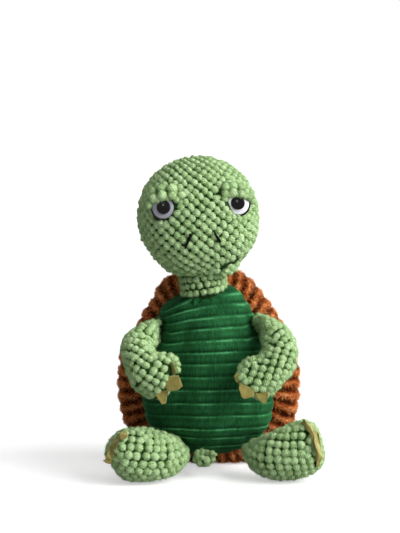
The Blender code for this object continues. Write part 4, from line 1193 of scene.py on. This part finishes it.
def build_belly():
    """The trunk: one velour skin with ribs that arch over the belly."""
    nodes = ["belly_panel", "back_panel", "body_stuffing"]
    form = soft_form("trunk_form", nodes, 0.0)
    surface = surface_of(form)
    low, high = BELLY_SPAN
    ways = [about(-BACK, RIGHT, turn) for turn in np.arange(BELLY_COLUMNS) * 2 * math.pi / BELLY_COLUMNS]
    front = np.array([way.y < BELLY_FRONT for way in ways])
    rows, painted_lights = [], []
    for step in range(BELLY_ROWS + 1):
        height = low + (high - low) * step / BELLY_ROWS
        radii, levels = belly_ring(surface, ways, height)
        deep, lit = rib_profile(height)
        # The balls' hollows are closed all round low down, and only in front above the shoulders
        filled = min(1.0, max(0.0, (BELLY_SHOULDER - height) / BELLY_BLEND))
        radii = np.where(front, closed_ring(radii, 4), radii) * (1 - filled) + closed_ring(radii) * filled
        ring = [
            Vector((*BELLY_AXIS, level)) + way * float(radius - GROOVE_DEPTH * deep)
            for way, radius, level in zip(ways, radii, levels)
        ]
        rows.append(ring)
        # The ring's painted highlight and shade, broken up by noise
        painted_lights.append([lit * (0.85 + 0.9 * turbulence.noise(place * 60)) for place in ring])
    bpy.data.objects.remove(form)
    piece = new_piece("belly_velour", ring_mesh("belly_ribs", rows, middles(rows), painted_lights), VELOUR)
    ease(piece, BELLY_EASE)
    for v in piece.data.vertices:
        v.co.y += BACK_REACH * min(1.0, max(0.0, (v.co.y - BACK_START) / BACK_BLEND))
    declare(piece, "body", nodes)


def middles(rows):
    """The middles of the first and of the last ring."""
    return [sum(row, Vector()) / len(row) for row in (rows[0], rows[-1])]


def rim_walk(surface, middle, steps=720):
    """The way walked along the shell's rim up to each of some even turns, all round."""
    radii = []
    for step in range(steps):
        place, _ = cast(surface, middle, about(-UP, RIGHT, 2 * math.pi * step / steps))
        radii.append((place - middle).length)
    walk = [0.0]
    for step in range(steps):
        here, after = radii[step], radii[(step + 1) % steps]
        walk.append(walk[-1] + math.hypot(after - here, here * 2 * math.pi / steps))
    return walk


def shell_ring(surface, middle, walk, tilt, columns, ribs):
    """One ring of the shell at a tilt from the rim, in degrees: its points, and its painted light, lighter
    on the rib crowns and with painted shade towards the belly.
    """
    start, end, over = SHELL_FADE
    fade = min(1, max(SHELL_FAINT, (tilt - start) / over)) * min(1, max(0, (end - tilt) / over))
    shade = max(0.0, SHELL_SHADE - tilt) / (SHELL_TILT + SHELL_SHADE)
    ring, rises = [], []
    for column in range(columns):
        far = walk[-1] * column / columns
        turn = np.interp(far, walk, np.arange(len(walk)) * 2 * math.pi / (len(walk) - 1))
        place, normal = cast(surface, middle, about(about(-UP, RIGHT, turn), BACK, math.radians(tilt)))
        phase = far / walk[-1] * ribs + turbulence.noise(place * 40 + Vector((3, 1, 7))) * 0.30
        crown = abs(math.cos(math.pi * phase)) ** 0.7
        unrest = turbulence.noise(place * 110) * 0.0014 + turbulence.noise(place * 260) * 0.0006
        place = place + normal * (SHELL_RIB_HEIGHT * (crown - 0.35) * fade + unrest)
        place.z = max(place.z, 0.0003)
        ring.append(place)
        # Painted highlight on the rib crowns and painted shade towards the belly
        rises.append(crown * fade + 0.5 * (1 - fade) - 0.55 * shade)
    return ring, rises


def build_shell():
    """The padded shell: pile ribs run over its rim and fade out on the dome."""
    nodes = ["shell_front_panel", "shell_back_panel", "shell_stuffing"]
    form = soft_form("shell_form", nodes, 0.0020, 0.0025, 10)
    ease(form, SHELL_EASE)
    surface = surface_of(form)
    lowest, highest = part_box("shell_back_panel")
    middle = Vector(((lowest.x + highest.x) / 2, *SHELL_MIDDLE))
    walk = rim_walk(surface, middle)
    ribs = round(walk[-1] / SHELL_RIB_PITCH)
    tilts = [SHELL_TILT * (2 * step / (SHELL_ROWS - 1) - 1) for step in range(SHELL_ROWS)]
    rows, painted_lights = zip(*(shell_ring(surface, middle, walk, tilt, ribs * 8, ribs) for tilt in tilts))
    bpy.data.objects.remove(form)
    piece = new_piece("shell_pad", ring_mesh("shell_ribs", rows, middles(rows), painted_lights), PILE)
    declare(piece, "body", nodes)
    tufts = new_piece("shell_pile_tufts", piece.data.copy())
    declare(worked(tufts, PILES, Pile=PILE), "body")


def claw_tooth(made, spots, thick):
    """One flat tooth with its cut edge, from the way to each corner and how far from the camera it is."""
    front = [made.verts.new(CAMERA_PLACE + ray * far) for ray, far in spots]
    back = [made.verts.new(CAMERA_PLACE + ray * (far + thick)) for ray, far in spots]
    made.faces.new(front)
    made.faces.new(back[::-1])
    for here in range(len(front)):
        after = (here + 1) % len(front)
        made.faces.new((front[here], back[here], back[after], front[after]))


def build_claws(node, body, surface):
    """Felt claws: thick cut teeth that stand out of the seam, their edges worn round."""
    made = bmesh.new()
    toe = node.startswith("toe")
    depths = []
    for tooth in CLAWS[node]:
        hits = [seen_at(surface, across, down)[0] for across, down, _ in tooth]
        depths = [(hit - CAMERA_PLACE).length for hit in hits if hit is not None] or depths
        spots = []
        for (across, down, lift), hit in zip(tooth, hits):
            # A toe's corner lies on the cap where it can, and any other on the plane of its tooth
            far = (hit - CAMERA_PLACE).length if toe and hit is not None else sum(depths) / len(depths)
            spots.append((sight(across, down), far - lift * MM))
        claw_tooth(made, spots, CLAW_THICK["toe" if toe else "hand"])
    bmesh.ops.triangulate(made, faces=made.faces)
    name = node + "_felt"
    piece = one_skin(new_piece(name, mesh_of(made, name)), FELT, 0.0003, 5)
    # Painted sheen: rise is high where a face turns edge-on to the camera, which lightens the cut edges
    cut = piece.data.attributes.new("rise", "FLOAT", "POINT")
    cut.data.foreach_set("value", [1 - abs(v.normal.dot(CAMERA_WAY)) for v in piece.data.vertices])
    declare(piece, body, [node])


def paint_node(name, material):
    """Give a CAD node that stays its material."""
    node = NODES[name]
    if not node.material_slots:
        node.data.materials.append(material)
    for place in node.material_slots:
        place.material = material


def lathe(name, stand, profile, material, slope=(0.0, 0.0), sides=56):
    """A round plastic piece: a profile of radius and height, turned about an eye's axis."""
    middle, across, up, axis = stand
    rows = []
    for radius, height in profile:
        row = []
        for side in range(sides):
            u, v = radius * flat_way(2 * math.pi * side / sides)
            row.append(middle + across * u + up * v + axis * (height + slope[0] * u + slope[1] * v))
        rows.append(row)
    poles = [middle + axis * profile[end][1] for end in (0, -1)]
    return new_piece(name, ring_mesh(name, rows, poles), material)


def dome(radius, top, round_by, steps=12):
    """A profile from the pole out over a dome, round its edge and in under it."""
    out = [radius * (step + 1) / steps for step in range(steps)]
    over = [(far, top - far ** 2 / (2 * round_by)) for far in out]
    edge = over[-1][1]
    return over + [
        (radius + 0.0002, edge - 0.0003), (radius + 0.0001, edge - 0.0022), (radius * 0.9, edge - 0.0028),
        (radius * 0.3, edge - 0.0029),
    ]


def build_eyes(surface):
    """Each eye: a black rim, a domed white over it and a black pupil on that, each its own moulding."""
    mirror = (LAMP_WAY - CAMERA_WAY).normalized()
    for side, (spot, way, pupil, shine) in EYES.items():
        axis = Vector(way).normalized()
        across = UP.cross(axis).normalized()
        up = axis.cross(across)
        middle = seen_at(surface, *spot)[0] - sight(*spot) * EYE_SINK
        ray = sight(*pupil)
        centre = CAMERA_PLACE + ray * far_to(ray, middle + axis * WHITE_TOP, axis)
        # The pupil's dome leans so that the front lamp shines where the photograph shows the highlight
        slope = [
            far / PUPIL_ROUND - mirror.dot(way_to) / mirror.dot(axis)
            for far, way_to in zip(shine, (across, up))
        ]
        for node, name, place, form, material, lean in (
            ("base", "rim", middle, RIM_FORM, EYE_BLACK, (0.0, 0.0)),
            ("white", "white_dome", middle, WHITE_FORM, EYE_WHITES[side], (0.0, 0.0)),
            ("pupil", "pupil_dome", centre, PUPIL_FORM, EYE_BLACK, slope),
        ):
            piece = lathe(f"eye_{side}_{name}", (place, across, up, axis), dome(*form), material, lean)
            declare(piece, "head", [f"eye_{side}_{node}"])
        paint_node(f"eye_{side}_washer", WASHER)


def two_looks(tree, bounced, seen):
    """One look for the camera and for what mirrors or lets it through, another for bounced light."""
    path = add(tree, "ShaderNodeLightPath").outputs
    ray = path["Is Camera Ray"]
    for other in ("Is Glossy Ray", "Is Transmission Ray"):
        ray = add(tree, "ShaderNodeMath", {0: ray, 1: path[other]}, operation="MAXIMUM")
    return add(tree, "ShaderNodeMixShader", {0: ray, 1: bounced, 2: seen})


def build_stage():
    """A pale floor that keeps the shadow, on a background that is white to the camera."""
    bpy.ops.mesh.primitive_plane_add(size=12, location=(0, 0, 0))
    floor = bpy.context.object
    floor.name = "studio_floor"
    made = bpy.data.materials.new("matt_white_paper")
    world = bpy.data.worlds.new("studio")
    bpy.context.scene.world = world
    for kept in (made, world):
        kept.use_nodes = True
        kept.node_tree.nodes.clear()

    tree = made.node_tree
    paper = add(tree, "ShaderNodeBsdfDiffuse", {"Color": linear("#a8a8a8")})
    soft = add(tree, "ShaderNodeBsdfDiffuse", {"Color": linear("#f0f0f0")})
    glow = add(tree, "ShaderNodeEmission", {"Color": linear("#ffffff"), "Strength": 0.48})
    both = add(tree, "ShaderNodeAddShader", {0: soft, 1: glow})
    add(tree, "ShaderNodeOutputMaterial", {"Surface": two_looks(tree, paper, both)})
    floor.data.materials.append(made)

    tree = world.node_tree
    room, white = (
        add(tree, "ShaderNodeBackground", {"Color": linear("#ffffff"), "Strength": strength})
        for strength in (0.18, 1.0)
    )
    add(tree, "ShaderNodeOutputWorld", {"Surface": two_looks(tree, room, white)})


def set_up(name, data, way, place=(0, 0, 0)):
    """A light or a camera that looks along a way."""
    made = bpy.data.objects.new(name, data)
    made.location = place
    made.rotation_mode = "QUATERNION"
    made.rotation_quaternion = way.to_track_quat("-Z", "Y")
    bpy.context.scene.collection.objects.link(made)
    return made


def build_camera():
    """The camera of the photograph."""
    lens = bpy.data.cameras.new("photo_camera")
    lens.lens = CAMERA_LENS
    lens.sensor_width = CAMERA_SENSOR
    lens.sensor_fit = "HORIZONTAL"
    lens.clip_start = 0.05
    lens.clip_end = 50
    bpy.context.scene.camera = set_up("photo_camera", lens, CAMERA_WAY, CAMERA_PLACE)


def build_lights():
    """A broad sun from the right, a weak one from above, and a small soft lamp that lights the eyes."""
    for name, way_from, spread, power in (
        ("key_sun", (0.92, -0.40, 0.48), 60, 4.4),
        ("top_sun", (0.15, -0.10, 1.0), 80, 0.55),
    ):
        light = bpy.data.lights.new(name, "SUN")
        light.angle = math.radians(spread)
        light.energy = power
        set_up(name, light, -Vector(way_from))
    light = bpy.data.lights.new("front_lamp", "AREA")
    light.size = 0.16
    light.energy = 2.0
    place = Vector((0, 0, 0.2)) + LAMP_WAY * 2
    set_up("front_lamp", light, Vector((0, 0, 0.15)) - place, place)


bpy.context.scene.view_settings.view_transform = "Standard"
build_camera()
build_stage()
build_lights()

build_head()
build_neck()
build_belly()
build_shell()
for body, end, cap, shape, seed in (
    ("arm_left", "hand", "hand_pad", ARM_LEFT, 12), ("arm_right", "hand", "hand_pad", ARM_RIGHT, 13),
    ("leg_left", "toe", "toe_cap", LEG_LEFT, 11), ("leg_right", "toe", "toe_cap", LEG_RIGHT, 12),
):
    side = body.split("_")[1]
    surface = dressed_limb(body, [f"{body}_sleeve", f"{cap}_{side}", f"{body}_stuffing"], shape, seed)
    build_claws(f"{end}_claws_{side}", body, surface)
dressed_limb("tail", ["tail_sleeve", "tail_stuffing"], TAIL, 23)
